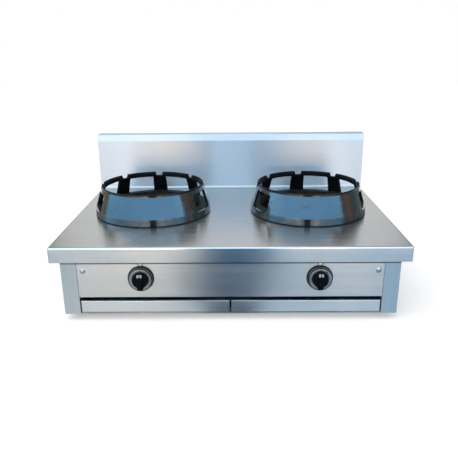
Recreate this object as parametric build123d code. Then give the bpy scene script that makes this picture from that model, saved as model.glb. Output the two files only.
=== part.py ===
"""Two-burner gas wok range for a counter, in millimetres.

+X is right, +Y is back and +Z is up. The front of the range faces -Y. The origin is on the
surface that the feet stand on, below the middle of the range.
"""

import math
import os

from build123d import *

# Worktop
WORKTOP_WIDTH = 1000.0
WORKTOP_DEPTH = 700.0
WORKTOP_SHEET = 2.0
APRON_HEIGHT = 44.0
APRON_BEND = 5.0

# Splashback, which stands on the back of the worktop
SPLASH_FACE_HEIGHT = 182.0
SPLASH_BAND_RISE = 22.0
SPLASH_BAND_LEAN = 8.0
SPLASH_THICKNESS = 50.0
SPLASH_SHEET = 1.5

# Case under the worktop
CASE_HEIGHT = 202.0
CASE_SIDE_SETBACK = 29.0
CASE_SETBACK = 4.5
POST_FACE = 46.0
POST_RETURN = 25.0
POST_SHEET = 2.0
PANEL_SHEET = 1.5
PANEL_DROP = 150.5
PANEL_TOP_DROP = 30.0
PANEL_FLANGE = 16.0
PANEL_TAB_REACH = 28.0
PANEL_TAB_HEIGHT = 34.0
BOTTOM_PANEL_HEM = 4.5
SHEET_CLEARANCE = 0.3

# How far a cutter runs past a face, and a joined block into its neighbour
OVERRUN = 1.0

# Panel screws
SCREW_HEAD_RADIUS = 8.0
SCREW_HEAD_HEIGHT = 3.6
SCREW_SHANK_RADIUS = 2.5
SCREW_SHANK_LENGTH = 9.0
SCREW_CLEARANCE = 0.2
SCREW_INSET = 62.0
SCREW_DROP = 70.0

# Air slots in the back and bottom panels
AIR_SLOT_LENGTH = 60.0
AIR_SLOT_WIDTH = 8.0
AIR_SLOT_PITCH = 84.0
AIR_SLOT_COUNT = 8
BACK_SLOT_DROP = 100.0
BACK_SLOT_ROW_GAP = 30.0

# Feet
FOOT_HEIGHT = 20.0
FOOT_TOP_RADIUS = 20.0
FOOT_BASE_RADIUS = 17.0
FOOT_STUD_RADIUS = 4.0
FOOT_STUD_LENGTH = 12.0
FOOT_SIDE_INSET = 32.0
FOOT_FRONT_INSET = 70.0
FOOT_STUD_CLEARANCE = 0.1

# Drip trays and their runners
TRAY_FRONT_HEIGHT = 35.0
TRAY_FRONT_LIP = 10.0
TRAY_SHEET = 1.2
TRAY_SIDE_GAP = 3.0
TRAY_CENTRE_GAP = 6.0
TRAY_PAN_INSET = 7.5
TRAY_PAN_HEIGHT = 21.0
TRAY_PAN_LENGTH = 585.0
TRAY_PAN_FLANGE = 5.0
TRAY_LIFT = 0.5
TRAY_SETBACK = 0.5
TRAY_FLOOR_GAP = 0.3
RUNNER_SHEET = 1.5
RUNNER_WEB = 27.0
RUNNER_LEG = 12.0
RUNNER_LENGTH = 640.0
RUNNER_FRONT_INSET = 22.0
RUNNER_WALL_GAP = 0.5

# Wok rings
RING_SPACING = 510.0
RING_SETBACK = 355.0
RING_BASE_RADIUS = 189.0
RING_BASE_INNER_RADIUS = 155.0
RING_BASE_HEIGHT = 24.0
RING_BASE_WALL = 8.0
RING_HEIGHT = 94.0
RING_RIM_RADIUS = 164.5
RING_RIM_FLAT = 3.5
RING_RIM_INNER_RADIUS = 156.0
RING_RIM_HEIGHT = 16.0
RING_SEAT_DEPTH = 5.5
RING_SHOULDER = 0.5
RING_WALL = 8.0
RING_WALL_HALF_ANGLE = 55.0
RING_STATION_COUNT = 8
RING_POST_HALF_ANGLE = 7.7
RING_NOTCH_WIDTH = 20.0
RING_NOTCH_FLARE = 3.0
RING_NOTCH_DEPTH = 12.0
RING_BASE_EDGE = 2.0
RING_RIM_EDGE = 1.2
RING_WINDOW_CORNER = 4.0
LEFT_RING_TURN = 0.0
RIGHT_RING_TURN = 5.0

# Burner bowls
BOWL_OPENING_RADIUS = 144.0
BOWL_CLEARANCE = 1.5
BOWL_FLANGE = 9.5
BOWL_SHEET = 1.5
BOWL_DEPTH = 96.0
BOWL_FLOOR_RADIUS = 106.0
BOWL_AIR_GAP = 4.0

# Burners
POT_RADIUS = 46.0
POT_WALL = 6.0
POT_TOP_DROP = 58.0
POT_BOTTOM_DROP = 150.0
HEAD_RADIUS = 70.0
HEAD_HEIGHT = 34.0
HEAD_WALL = 6.0
HEAD_SPIGOT = 8.0
HEAD_SPIGOT_CLEARANCE = 0.3
HEAD_OUTER_PORTS = 24
HEAD_OUTER_PORT_RADIUS = 2.5
HEAD_OUTER_PORT_CIRCLE = 54.0
HEAD_INNER_PORTS = 12
HEAD_INNER_PORT_RADIUS = 2.0
HEAD_INNER_PORT_CIRCLE = 24.0
MIXER_DROP = 126.0
MIXER_RADIUS = 19.0
MIXER_BORE = 15.0
MIXER_MOUTH_SETBACK = 150.0
MIXER_MOUTH_RADIUS = 24.0
MIXER_MOUTH_LENGTH = 7.0
YOKE_LENGTH = 34.0
YOKE_BAR = 5.0
YOKE_PLATE = 4.0
RAIL_WIDTH = 40.0
RAIL_HEIGHT = 16.0
RAIL_SHEET = 2.0

# Injectors and air shutters
INJECTOR_HEX = 18.0
INJECTOR_HEX_LENGTH = 12.0
INJECTOR_THREAD_RADIUS = 6.0
INJECTOR_THREAD_LENGTH = 24.0
INJECTOR_TIP_LENGTH = 5.0
INJECTOR_TIP_RADIUS = 3.5
INJECTOR_BORE = 2.0
INJECTOR_CLEARANCE = 0.1
SHUTTER_RADIUS = 13.5
SHUTTER_THICKNESS = 1.5
SHUTTER_OFFSET = 15.0

# Gas supply
PIPE_RADIUS = 10.65
PIPE_WALL = 2.6
PIPE_BEND = 32.0
PIPE_SETBACK = 105.0
PIPE_OVERHANG = 22.0
INLET_POST_OFFSET = 25.0
INLET_THREAD_RADIUS = 10.48
INLET_BORE = 7.5
INLET_THREAD_LENGTH = 25.0
INLET_HEX = 30.0
INLET_HEX_LENGTH = 10.0
INLET_TAIL = 10.0
INLET_HOLE_CLEARANCE = 1.0
BRACKET_TAP_OFFSET = 98.0
BRACKET_SHEET = 2.0
BRACKET_WIDTH = 40.0
BRACKET_FLANGE = 20.0
BRACKET_EDGE = 6.0
BRACKET_CLEARANCE = 0.1

# Gas taps
TAP_SPACING = 496.0
TAP_DROP = 91.5
TAP_BODY_HALF = 20.0
TAP_BODY_FRONT = 32.0
TAP_BODY_LENGTH = 44.0
TAP_NECK_RADIUS = 13.0
TAP_NECK_LENGTH = 18.0
TAP_NECK_CAP = 6.0
TAP_STUB_RADIUS = 9.0
TAP_SPRING_BORE = 9.0
TAP_OUTLET_SETBACK = 60.0
PLUG_RADIUS = 10.0
PLUG_LENGTH = 26.0
PLUG_SETBACK = 40.0
PLUG_CLEARANCE = 0.05
PLUG_END_CLEARANCE = 0.3
PLUG_PORT_RADIUS = 3.5
SPINDLE_RADIUS = 4.0
SPINDLE_REACH = 10.0
SPINDLE_CLEARANCE = 0.05
SPINDLE_CAP_CLEARANCE = 0.3
SPINDLE_COLLAR_RADIUS = 8.4
SPINDLE_COLLAR_LENGTH = 3.0
SPRING_WIRE_RADIUS = 0.6
SPRING_COIL_RADIUS = 6.2
SPRING_TURNS = 5
SPRING_CLEARANCE = 0.3

# Knobs
KNOB_SKIRT_RADIUS = 34.5
KNOB_SKIRT_FRONT_RADIUS = 33.7
KNOB_SKIRT_DEPTH = 6.3
KNOB_WALL = 2.5
KNOB_TRAVEL = 5.0
KNOB_TRAVEL_CLEARANCE = 0.7
KNOB_HUB_RADIUS = 22.7
KNOB_HUB_DEPTH = 12.0
KNOB_HUB_CHAMFER = 2.5
KNOB_GRIP_WIDTH = 18.0
KNOB_GRIP_DEPTH = 17.0
KNOB_GRIP_ROUND = 3.0
KNOB_BOSS_RADIUS = 8.0
KNOB_BORE_DEPTH = 20.0
DIAL_RADIUS = 32.0
DIAL_THICKNESS = 0.8
DIAL_CLEARANCE = 0.2
BEZEL_RADIUS = 37.0
BEZEL_THICKNESS = 1.5
BEZEL_HOLE_CLEARANCE = 4.0

# Pilots, thermocouples and gas tubes
BURNER_TUBE_RADIUS = 5.0
BURNER_TUBE_BEND = 6.0
PILOT_RADIUS = 5.0
PILOT_HEIGHT = 44.0
PILOT_TAIL = 14.0
PILOT_SIDE_OFFSET = 42.0
PILOT_FRONT_OFFSET = 73.0
PILOT_TUBE_RADIUS = 2.0
PILOT_TUBE_SETBACK = 45.0
PILOT_TUBE_DROP = 125.0
PILOT_TUBE_RISE = 5.0
PILOT_TUBE_OFFSET = 29.0
PROBE_RADIUS = 3.0
PROBE_HEIGHT = 50.0
PROBE_TAIL = 10.0
PROBE_SIDE_OFFSET = 62.0
PROBE_FRONT_OFFSET = 57.0
LEAD_RADIUS = 1.5
LEAD_SETBACK = 55.0
LEAD_DROP = 119.0
LEAD_RISE = 4.0
LEAD_OFFSET = 49.0
SMALL_TUBE_BEND = 9.0
COLLAR_EXTRA_RADIUS = 3.0
COLLAR_HEIGHT = 5.0
TUBE_HOLE_CLEARANCE = 0.3

# Heights and setbacks that follow from the sizes above
DECK_Z = FOOT_HEIGHT + CASE_HEIGHT
UNDER_DECK_Z = DECK_Z - WORKTOP_SHEET
CASE_Z = FOOT_HEIGHT
FLOOR_Z = CASE_Z + BOTTOM_PANEL_HEM
CASE_DEPTH = WORKTOP_DEPTH - 2 * CASE_SETBACK
CASE_WIDTH = WORKTOP_WIDTH - 2 * CASE_SIDE_SETBACK
KNOB_SKIRT_BACK = -BEZEL_THICKNESS - KNOB_TRAVEL - KNOB_TRAVEL_CLEARANCE + CASE_SETBACK
KNOB_SKIRT_FRONT = KNOB_SKIRT_BACK - KNOB_SKIRT_DEPTH
KNOB_FRONT = KNOB_SKIRT_FRONT - KNOB_GRIP_DEPTH
INLET_END = CASE_SETBACK + CASE_DEPTH + INLET_HEX_LENGTH + INLET_THREAD_LENGTH
FRONT_Y = -(KNOB_FRONT + INLET_END) / 2

CASE_FRONT_Y = FRONT_Y + CASE_SETBACK
CASE_BACK_Y = CASE_FRONT_Y + CASE_DEPTH
RING_Y = FRONT_Y + RING_SETBACK
TAP_Z = DECK_Z - TAP_DROP
MIXER_Z = DECK_Z - MIXER_DROP
PANEL_BOTTOM_Z = DECK_Z - PANEL_DROP
BOWL_FLOOR_Z = DECK_Z - BOWL_DEPTH
POST_INNER_X = CASE_WIDTH / 2 - POST_FACE
INLET_X = POST_INNER_X - INLET_POST_OFFSET
SIDE_INNER_X = CASE_WIDTH / 2 - POST_SHEET - PANEL_SHEET
SIDES = {"left": -1, "right": 1}


def block(x_span, y_span, z_span):
    """Box between the two ends of each span."""
    size = [abs(span[1] - span[0]) for span in (x_span, y_span, z_span)]
    middle = [(span[0] + span[1]) / 2 for span in (x_span, y_span, z_span)]
    return Pos(*middle) * Box(*size)


def rod_x(y, z, x_span, radius):
    """Cylinder along X between the ends of x_span."""
    middle = (x_span[0] + x_span[1]) / 2
    return Pos(middle, y, z) * Rot(0, 90, 0) * Cylinder(radius, abs(x_span[1] - x_span[0]))


def rod_y(x, z, y_span, radius):
    """Cylinder along Y between the ends of y_span."""
    middle = (y_span[0] + y_span[1]) / 2
    return Pos(x, middle, z) * Rot(90, 0, 0) * Cylinder(radius, abs(y_span[1] - y_span[0]))


def rod_z(x, y, z_span, radius):
    """Cylinder along Z between the ends of z_span."""
    middle = (z_span[0] + z_span[1]) / 2
    return Pos(x, y, middle) * Cylinder(radius, abs(z_span[1] - z_span[0]))


def hex_y(x, z, y_span, across_flats):
    """Hexagonal bar along Y."""
    middle = (y_span[0] + y_span[1]) / 2
    section = Plane.XZ * RegularPolygon(across_flats / 2, 6, major_radius=False)
    bar = extrude(section, amount=abs(y_span[1] - y_span[0]) / 2, both=True)
    return Pos(x, middle, z) * bar


def turned(points, arc=360.0):
    """Solid of a closed outline of (radius, height) points, turned about Z by arc degrees."""
    outline = make_face(Plane.XZ * Polyline(*points, close=True))
    return revolve(outline, axis=Axis.Z, revolution_arc=arc)


def upright_prism(points, z_span):
    """Closed outline of (x, y) points, raised between the ends of z_span."""
    outline = make_face(Plane.XY.offset(z_span[0]) * Polyline(*points, close=True))
    return extrude(outline, amount=z_span[1] - z_span[0], dir=(0, 0, 1))


def tube_along(points, radius, bends, bore=0.0):
    """Round tube or rod along straight runs joined by arcs."""
    path = FilletPolyline(*points, radius=bends)
    start = Plane(path @ 0, z_dir=path % 0)
    tube = sweep(start * Circle(radius), path=path)
    if bore:
        tube = tube - sweep(start * Circle(bore), path=path)
    return tube


def write(node, shape):
    """Write one named piece."""
    shape.label = node
    export_step(shape, os.path.join("parts", node + ".step"))


# Case and worktop


def worktop():
    """Deck with aprons on all four sides and an opening for each bowl."""
    half = WORKTOP_WIDTH / 2
    back = FRONT_Y + WORKTOP_DEPTH
    splash_y = back - SPLASH_THICKNESS
    z_span = (DECK_Z - APRON_HEIGHT, DECK_Z)
    deck = block((-half, half), (FRONT_Y, splash_y), z_span)
    rims = deck.edges().filter_by_position(Axis.Z, DECK_Z, DECK_Z).sort_by(Axis.Y)[:-1]
    corners = deck.edges().filter_by(Axis.Z).sort_by(Axis.Y)[:2]
    deck = fillet(list(rims) + list(corners), APRON_BEND)
    deck = deck + block((-half, half), (splash_y, back), z_span)
    inner = half - WORKTOP_SHEET
    hollow = block(
        (-inner, inner),
        (FRONT_Y + WORKTOP_SHEET, back - WORKTOP_SHEET),
        (DECK_Z - APRON_HEIGHT - WORKTOP_SHEET, UNDER_DECK_Z),
    )
    deck = deck - hollow
    for side in SIDES.values():
        burner_x = side * RING_SPACING / 2
        deck = deck - rod_z(burner_x, RING_Y, (DECK_Z - APRON_HEIGHT, DECK_Z + OVERRUN), BOWL_OPENING_RADIUS)
    return deck


def splash_outline(sheet):
    """Outline of the splashback in Y and Z, sheet inside its outer faces and open below."""
    front = FRONT_Y + WORKTOP_DEPTH - SPLASH_THICKNESS + sheet
    back = FRONT_Y + WORKTOP_DEPTH - sheet
    bend_z = DECK_Z + SPLASH_FACE_HEIGHT
    top_z = bend_z + SPLASH_BAND_RISE - sheet
    lean_front = front + SPLASH_BAND_LEAN
    points = [(front, DECK_Z), (front, bend_z), (lean_front, top_z), (back, top_z), (back, DECK_Z)]
    return make_face(Plane.YZ * Polyline(*points, close=True))


def splashback():
    """Hollow folded upstand with closed ends."""
    half = WORKTOP_WIDTH / 2
    outside = extrude(splash_outline(0.0), amount=half, both=True)
    inside = extrude(splash_outline(SPLASH_SHEET), amount=half - SPLASH_SHEET, both=True)
    return outside - inside


def corner_post(side, facing):
    """Folded channel post. facing is -1 at the front and 1 at the back."""
    face_y = CASE_FRONT_Y if facing < 0 else CASE_BACK_Y
    inward = -facing
    outer_x = CASE_WIDTH / 2
    skin = (face_y, face_y + inward * POST_SHEET)
    depth = (face_y, face_y + inward * POST_RETURN)
    z_span = (CASE_Z, UNDER_DECK_Z)
    post = block((side * POST_INNER_X, side * outer_x), skin, z_span)
    post = post + block((side * POST_INNER_X, side * (POST_INNER_X + POST_SHEET)), depth, z_span)
    post = post + block((side * (outer_x - POST_SHEET), side * outer_x), depth, z_span)
    if facing < 0:
        post = post + panel_tab(side)
        post = post - panel_screw_hole(side)
    return post


def panel_tab(side):
    """Tab inside a front post that the control panel is screwed to."""
    front = CASE_FRONT_Y + PANEL_SHEET
    middle_z = DECK_Z - SCREW_DROP
    x_span = (side * (POST_INNER_X - PANEL_TAB_REACH), side * (POST_INNER_X + POST_SHEET))
    z_span = (middle_z - PANEL_TAB_HEIGHT / 2, middle_z + PANEL_TAB_HEIGHT / 2)
    return block(x_span, (front, front + POST_SHEET), z_span)


def screw_x(side):
    """Place of a panel screw, inset from the outer face of the case."""
    return side * (CASE_WIDTH / 2 - SCREW_INSET)


def panel_screw_hole(side):
    """Hole for a panel screw."""
    y_span = (CASE_FRONT_Y - OVERRUN, CASE_FRONT_Y + SCREW_SHANK_LENGTH)
    return rod_y(screw_x(side), DECK_Z - SCREW_DROP, y_span, SCREW_SHANK_RADIUS + SCREW_CLEARANCE)


def control_panel():
    """Front plate between the posts, with flanges along its top and bottom."""
    half = POST_INNER_X - SHEET_CLEARANCE
    top_z = DECK_Z - PANEL_TOP_DROP
    y_span = (CASE_FRONT_Y, CASE_FRONT_Y + PANEL_SHEET)
    flange = (CASE_FRONT_Y, CASE_FRONT_Y + PANEL_FLANGE)
    panel = block((-half, half), y_span, (PANEL_BOTTOM_Z, top_z))
    panel = panel + block((-half, half), flange, (PANEL_BOTTOM_Z, PANEL_BOTTOM_Z + PANEL_SHEET))
    panel = panel + block((-half, half), flange, (top_z - PANEL_SHEET, top_z))
    for side in SIDES.values():
        hole_radius = SPINDLE_RADIUS + BEZEL_HOLE_CLEARANCE
        panel = panel - rod_y(side * TAP_SPACING / 2, TAP_Z, (CASE_FRONT_Y - OVERRUN, flange[1]), hole_radius)
        panel = panel - panel_screw_hole(side)
    return panel


def control_panel_screws():
    """The two dome-headed screws that hold the control panel."""
    screws = []
    rise = SCREW_HEAD_HEIGHT
    dome = (SCREW_HEAD_RADIUS**2 + rise**2) / (2 * rise)
    for side in SIDES.values():
        x = screw_x(side)
        z = DECK_Z - SCREW_DROP
        ball = Pos(x, CASE_FRONT_Y + dome - rise, z) * Sphere(dome)
        head = ball & rod_y(x, z, (CASE_FRONT_Y - rise - OVERRUN, CASE_FRONT_Y), SCREW_HEAD_RADIUS + OVERRUN)
        shank = rod_y(x, z, (CASE_FRONT_Y - OVERRUN, CASE_FRONT_Y + SCREW_SHANK_LENGTH), SCREW_SHANK_RADIUS)
        slot_depth = rise / 2
        slot = block(
            (x - SCREW_HEAD_RADIUS * 0.55, x + SCREW_HEAD_RADIUS * 0.55),
            (CASE_FRONT_Y - rise - OVERRUN, CASE_FRONT_Y - rise + slot_depth),
            (z - 0.6, z + 0.6),
        )
        screws.append(head + shank - slot)
    return Compound(children=screws)


def side_panel(side):
    """Flat sheet between a front and a rear post."""
    outer_x = CASE_WIDTH / 2 - POST_SHEET
    y_span = (CASE_FRONT_Y + POST_SHEET, CASE_BACK_Y - POST_SHEET)
    return block((side * outer_x, side * SIDE_INNER_X), y_span, (CASE_Z, UNDER_DECK_Z))


def slot_row(count, z_or_y, upright):
    """Row of round-ended air slots along X, through a sheet that is upright or flat."""
    slots = []
    for index in range(count):
        x = (index - (count - 1) / 2) * AIR_SLOT_PITCH
        outline = SlotOverall(AIR_SLOT_LENGTH, AIR_SLOT_WIDTH)
        centre = (x, CASE_BACK_Y, z_or_y) if upright else (x, z_or_y, CASE_Z)
        plane = Plane(centre, x_dir=(1, 0, 0), z_dir=(0, -1, 0) if upright else (0, 0, 1))
        slots.append(extrude(plane * outline, amount=2 * PANEL_FLANGE, both=True))
    return slots


def back_panel():
    """Rear sheet between the rear posts, with two rows of air slots and the gas inlet hole."""
    half = POST_INNER_X - SHEET_CLEARANCE
    y_span = (CASE_BACK_Y - PANEL_SHEET, CASE_BACK_Y)
    panel = block((-half, half), y_span, (FLOOR_Z, UNDER_DECK_Z))
    for row in range(2):
        row_z = DECK_Z - BACK_SLOT_DROP - row * BACK_SLOT_ROW_GAP
        for slot in slot_row(AIR_SLOT_COUNT, row_z, True):
            panel = panel - slot
    hole_radius = INLET_THREAD_RADIUS + INLET_HOLE_CLEARANCE
    return panel - rod_y(INLET_X, TAP_Z, (y_span[0] - OVERRUN, y_span[1] + OVERRUN), hole_radius)


def foot_places():
    """Name and centre of each foot."""
    x = CASE_WIDTH / 2 - FOOT_SIDE_INSET
    front = FRONT_Y + FOOT_FRONT_INSET
    back = FRONT_Y + WORKTOP_DEPTH - FOOT_FRONT_INSET
    return {
        "front_left_foot": (-x, front),
        "front_right_foot": (x, front),
        "rear_left_foot": (-x, back),
        "rear_right_foot": (x, back),
    }


def bottom_panel():
    """Floor sheet with a down-turned hem, notched round the posts."""
    notch_x = POST_INNER_X - SHEET_CLEARANCE
    notch = POST_RETURN + SHEET_CLEARANCE
    outer = floor_outline(SIDE_INNER_X, notch_x, notch, 0.0)
    inner = floor_outline(SIDE_INNER_X, notch_x, notch, PANEL_SHEET)
    panel = upright_prism(outer, (CASE_Z, FLOOR_Z))
    panel = panel - upright_prism(inner, (CASE_Z - OVERRUN, FLOOR_Z - PANEL_SHEET))
    for row_y in (RING_Y - AIR_SLOT_PITCH, RING_Y + AIR_SLOT_PITCH):
        for slot in slot_row(AIR_SLOT_COUNT, row_y, False):
            panel = panel - slot
    for x, y in foot_places().values():
        panel = panel - rod_z(x, y, (CASE_Z, FLOOR_Z + OVERRUN), FOOT_STUD_RADIUS + FOOT_STUD_CLEARANCE)
    return panel


def floor_outline(half, notch_x, notch, inset):
    """Rectangle with notched corners, moved in by inset."""
    x = half - inset
    corner_x = notch_x - inset
    front = CASE_FRONT_Y + inset
    back = CASE_BACK_Y - inset
    front_notch = CASE_FRONT_Y + notch + inset
    back_notch = CASE_BACK_Y - notch - inset
    right = [
        (corner_x, front),
        (corner_x, front_notch),
        (x, front_notch),
        (x, back_notch),
        (corner_x, back_notch),
        (corner_x, back),
    ]
    left = [(-point_x, point_y) for point_x, point_y in reversed(right)]
    return right + left


def foot(x, y):
    """Rubber foot with a moulded stud that is pushed up through the bottom panel."""
    seat = FLOOR_Z - PANEL_SHEET
    stud = rod_z(x, y, (seat / 2, seat + FOOT_STUD_LENGTH), FOOT_STUD_RADIUS)
    pad = Pos(x, y, seat / 2) * Cone(FOOT_BASE_RADIUS, FOOT_TOP_RADIUS, seat)
    return pad + stud


# Drip trays


def tray_x_span(side):
    """Width of a tray front, from the centre gap to the post."""
    return (side * TRAY_CENTRE_GAP / 2, side * (POST_INNER_X - TRAY_SIDE_GAP))


def drip_tray(side):
    """Pull-out pan with a folded front and a narrow flange along its sides."""
    near, far = tray_x_span(side)
    front_y = CASE_FRONT_Y + TRAY_SETBACK
    bottom_z = FLOOR_Z + TRAY_LIFT
    top_z = bottom_z + TRAY_FRONT_HEIGHT
    face = block((near, far), (front_y, front_y + TRAY_SHEET), (bottom_z, top_z))
    lip = block((near, far), (front_y, front_y + TRAY_FRONT_LIP), (top_z - TRAY_SHEET, top_z))
    pan_near = near + side * TRAY_PAN_INSET
    pan_far = far - side * TRAY_PAN_INSET
    pan_z = FLOOR_Z + RUNNER_SHEET + TRAY_FLOOR_GAP
    pan_y = (front_y, front_y + TRAY_PAN_LENGTH)
    pan = block((pan_near, pan_far), pan_y, (pan_z, pan_z + TRAY_PAN_HEIGHT))
    inside = block(
        (pan_near + side * TRAY_SHEET, pan_far - side * TRAY_SHEET),
        (pan_y[0] + TRAY_SHEET, pan_y[1] - TRAY_SHEET),
        (pan_z + TRAY_SHEET, pan_z + TRAY_PAN_HEIGHT + OVERRUN),
    )
    flange_z = (pan_z + TRAY_PAN_HEIGHT - TRAY_SHEET, pan_z + TRAY_PAN_HEIGHT)
    flange_x = (pan_near - side * TRAY_PAN_FLANGE, pan_far + side * TRAY_PAN_FLANGE)
    flange_y = (FRONT_Y + RUNNER_FRONT_INSET, pan_y[1])
    return face + lip + pan + block(flange_x, flange_y, flange_z) - inside


def runner_channel(webs, leg_x):
    """Upright webs with a leg below and above that hold the edge of a tray."""
    y_span = (FRONT_Y + RUNNER_FRONT_INSET, FRONT_Y + RUNNER_FRONT_INSET + RUNNER_LENGTH)
    top = FLOOR_Z + RUNNER_WEB
    channel = block(leg_x, y_span, (FLOOR_Z, FLOOR_Z + RUNNER_SHEET))
    channel = channel + block(leg_x, y_span, (top - RUNNER_SHEET, top))
    for web_x in webs:
        channel = channel + block(web_x, y_span, (FLOOR_Z, top))
    return channel


def side_runner(side):
    """Runner between a tray and the case side."""
    tray_edge = tray_x_span(side)[1] - side * (TRAY_PAN_INSET - TRAY_PAN_FLANGE)
    web_inner = tray_edge + side * RUNNER_WALL_GAP
    web_outer = web_inner + side * RUNNER_SHEET
    return runner_channel([(web_inner, web_outer)], (web_outer - side * RUNNER_LEG, web_outer))


def centre_runner():
    """Runner between the two trays, with one web for each tray."""
    tray_edge = tray_x_span(1)[0] + TRAY_PAN_INSET - TRAY_PAN_FLANGE
    outer = tray_edge - RUNNER_WALL_GAP
    inner = outer - RUNNER_SHEET
    leg = inner + RUNNER_LEG
    return runner_channel([(-outer, -inner), (inner, outer)], (-leg, leg))


# Wok rings


def cone_radius(height):
    """Outer radius of the leaning wall of a wok ring at a height above the deck."""
    foot_radius = RING_BASE_RADIUS - RING_BASE_EDGE - RING_SHOULDER
    share = (height - RING_BASE_HEIGHT) / (RING_HEIGHT - RING_BASE_HEIGHT)
    return foot_radius + share * (RING_RIM_RADIUS - foot_radius)


def ring_profile():
    """Outline of a wok ring in radius and height: channel base, leaning wall and rim."""
    inner = RING_BASE_INNER_RADIUS
    outer = RING_BASE_RADIUS
    hollow_top = RING_BASE_HEIGHT - RING_BASE_WALL
    low = RING_HEIGHT - RING_RIM_HEIGHT
    return [
        (inner, 0),
        (inner + RING_BASE_WALL, 0),
        (inner + RING_BASE_WALL, hollow_top),
        (outer - RING_BASE_WALL, hollow_top),
        (outer - RING_BASE_WALL, 0),
        (outer, 0),
        (outer, RING_BASE_HEIGHT),
        (cone_radius(RING_BASE_HEIGHT), RING_BASE_HEIGHT),
        (RING_RIM_RADIUS, RING_HEIGHT),
        (RING_RIM_RADIUS - RING_RIM_FLAT, RING_HEIGHT),
        (RING_RIM_INNER_RADIUS, RING_HEIGHT - RING_SEAT_DEPTH),
        (RING_RIM_INNER_RADIUS, low),
        (cone_radius(low) - RING_WALL, low),
        (cone_radius(RING_BASE_HEIGHT) - RING_WALL, RING_BASE_HEIGHT),
        (inner, RING_BASE_HEIGHT),
    ]


def solid_ring():
    """Wok ring before its windows and notches, with rounded outer edges."""
    ring = turned(ring_profile())
    circles = ring.edges().filter_by(GeomType.CIRCLE)
    base_edges = [edge for edge in circles if abs(edge.radius - RING_BASE_RADIUS) < 0.01]
    ring = fillet(base_edges, RING_BASE_EDGE)
    rim_edges = ring.edges().filter_by(GeomType.CIRCLE).group_by(Axis.Z)[-1]
    return fillet(rim_edges, RING_RIM_EDGE)


def ring_window(start, end):
    """Cutter for one window between two angles from the front."""
    low = RING_BASE_HEIGHT
    high = RING_HEIGHT - RING_RIM_HEIGHT
    inner = cone_radius(high) - 2 * RING_WALL
    outer = RING_BASE_RADIUS
    wedge = turned([(inner, low), (outer, low), (outer, high), (inner, high)], end - start)
    radial = wedge.edges().filter_by(GeomType.LINE).filter_by(Plane.XY)
    return Rot(0, 0, start - 90.0) * fillet(radial, RING_WINDOW_CORNER)


def ring_notch(angle):
    """Flared notch through the rim above one post."""
    low = RING_HEIGHT - RING_NOTCH_DEPTH
    half = RING_NOTCH_WIDTH / 2
    top = RING_HEIGHT + RING_NOTCH_FLARE
    flare = half + RING_NOTCH_FLARE
    points = [(-half, low), (half, low), (flare, top), (-flare, top)]
    cutter = extrude(make_face(Plane.XZ * Polyline(*points, close=True)), amount=RING_BASE_RADIUS)
    return Rot(0, 0, angle) * cutter


def wok_ring(side, turn):
    """Cast ring: base band, solid front wall, posts with windows between them and a notched rim."""
    station = 360.0 / RING_STATION_COUNT
    ring = solid_ring()
    window_start = RING_WALL_HALF_ANGLE
    for index in range(RING_STATION_COUNT):
        angle = index * station
        if RING_WALL_HALF_ANGLE < angle < 360.0 - RING_WALL_HALF_ANGLE:
            ring = ring - ring_window(window_start, angle - RING_POST_HALF_ANGLE)
            ring = ring - ring_notch(angle)
            window_start = angle + RING_POST_HALF_ANGLE
    ring = ring - ring_window(window_start, 360.0 - RING_WALL_HALF_ANGLE)
    return Pos(side * RING_SPACING / 2, RING_Y, DECK_Z) * Rot(0, 0, turn) * ring


# Burner bowls and burners


def burner_bowl(side):
    """Bowl hung from the worktop by its flange, open round the burner for air."""
    throat = BOWL_OPENING_RADIUS - BOWL_CLEARANCE
    hole = POT_RADIUS + BOWL_AIR_GAP
    flange = BOWL_OPENING_RADIUS + BOWL_FLANGE
    sheet = BOWL_SHEET
    bowl = turned(
        [
            (throat - sheet, sheet),
            (flange, sheet),
            (flange, 0),
            (throat, 0),
            (BOWL_FLOOR_RADIUS, -BOWL_DEPTH),
            (hole, -BOWL_DEPTH),
            (hole, sheet - BOWL_DEPTH),
            (BOWL_FLOOR_RADIUS - sheet, sheet - BOWL_DEPTH),
        ]
    )
    bowl = Pos(side * RING_SPACING / 2, RING_Y, DECK_Z) * bowl
    z_span = (BOWL_FLOOR_Z - OVERRUN, BOWL_FLOOR_Z + sheet + OVERRUN)
    for place, radius in ((pilot_place(side), PILOT_RADIUS), (probe_place(side), PROBE_RADIUS)):
        bowl = bowl - rod_z(place[0], place[1], z_span, radius + TUBE_HOLE_CLEARANCE)
    return bowl


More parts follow.
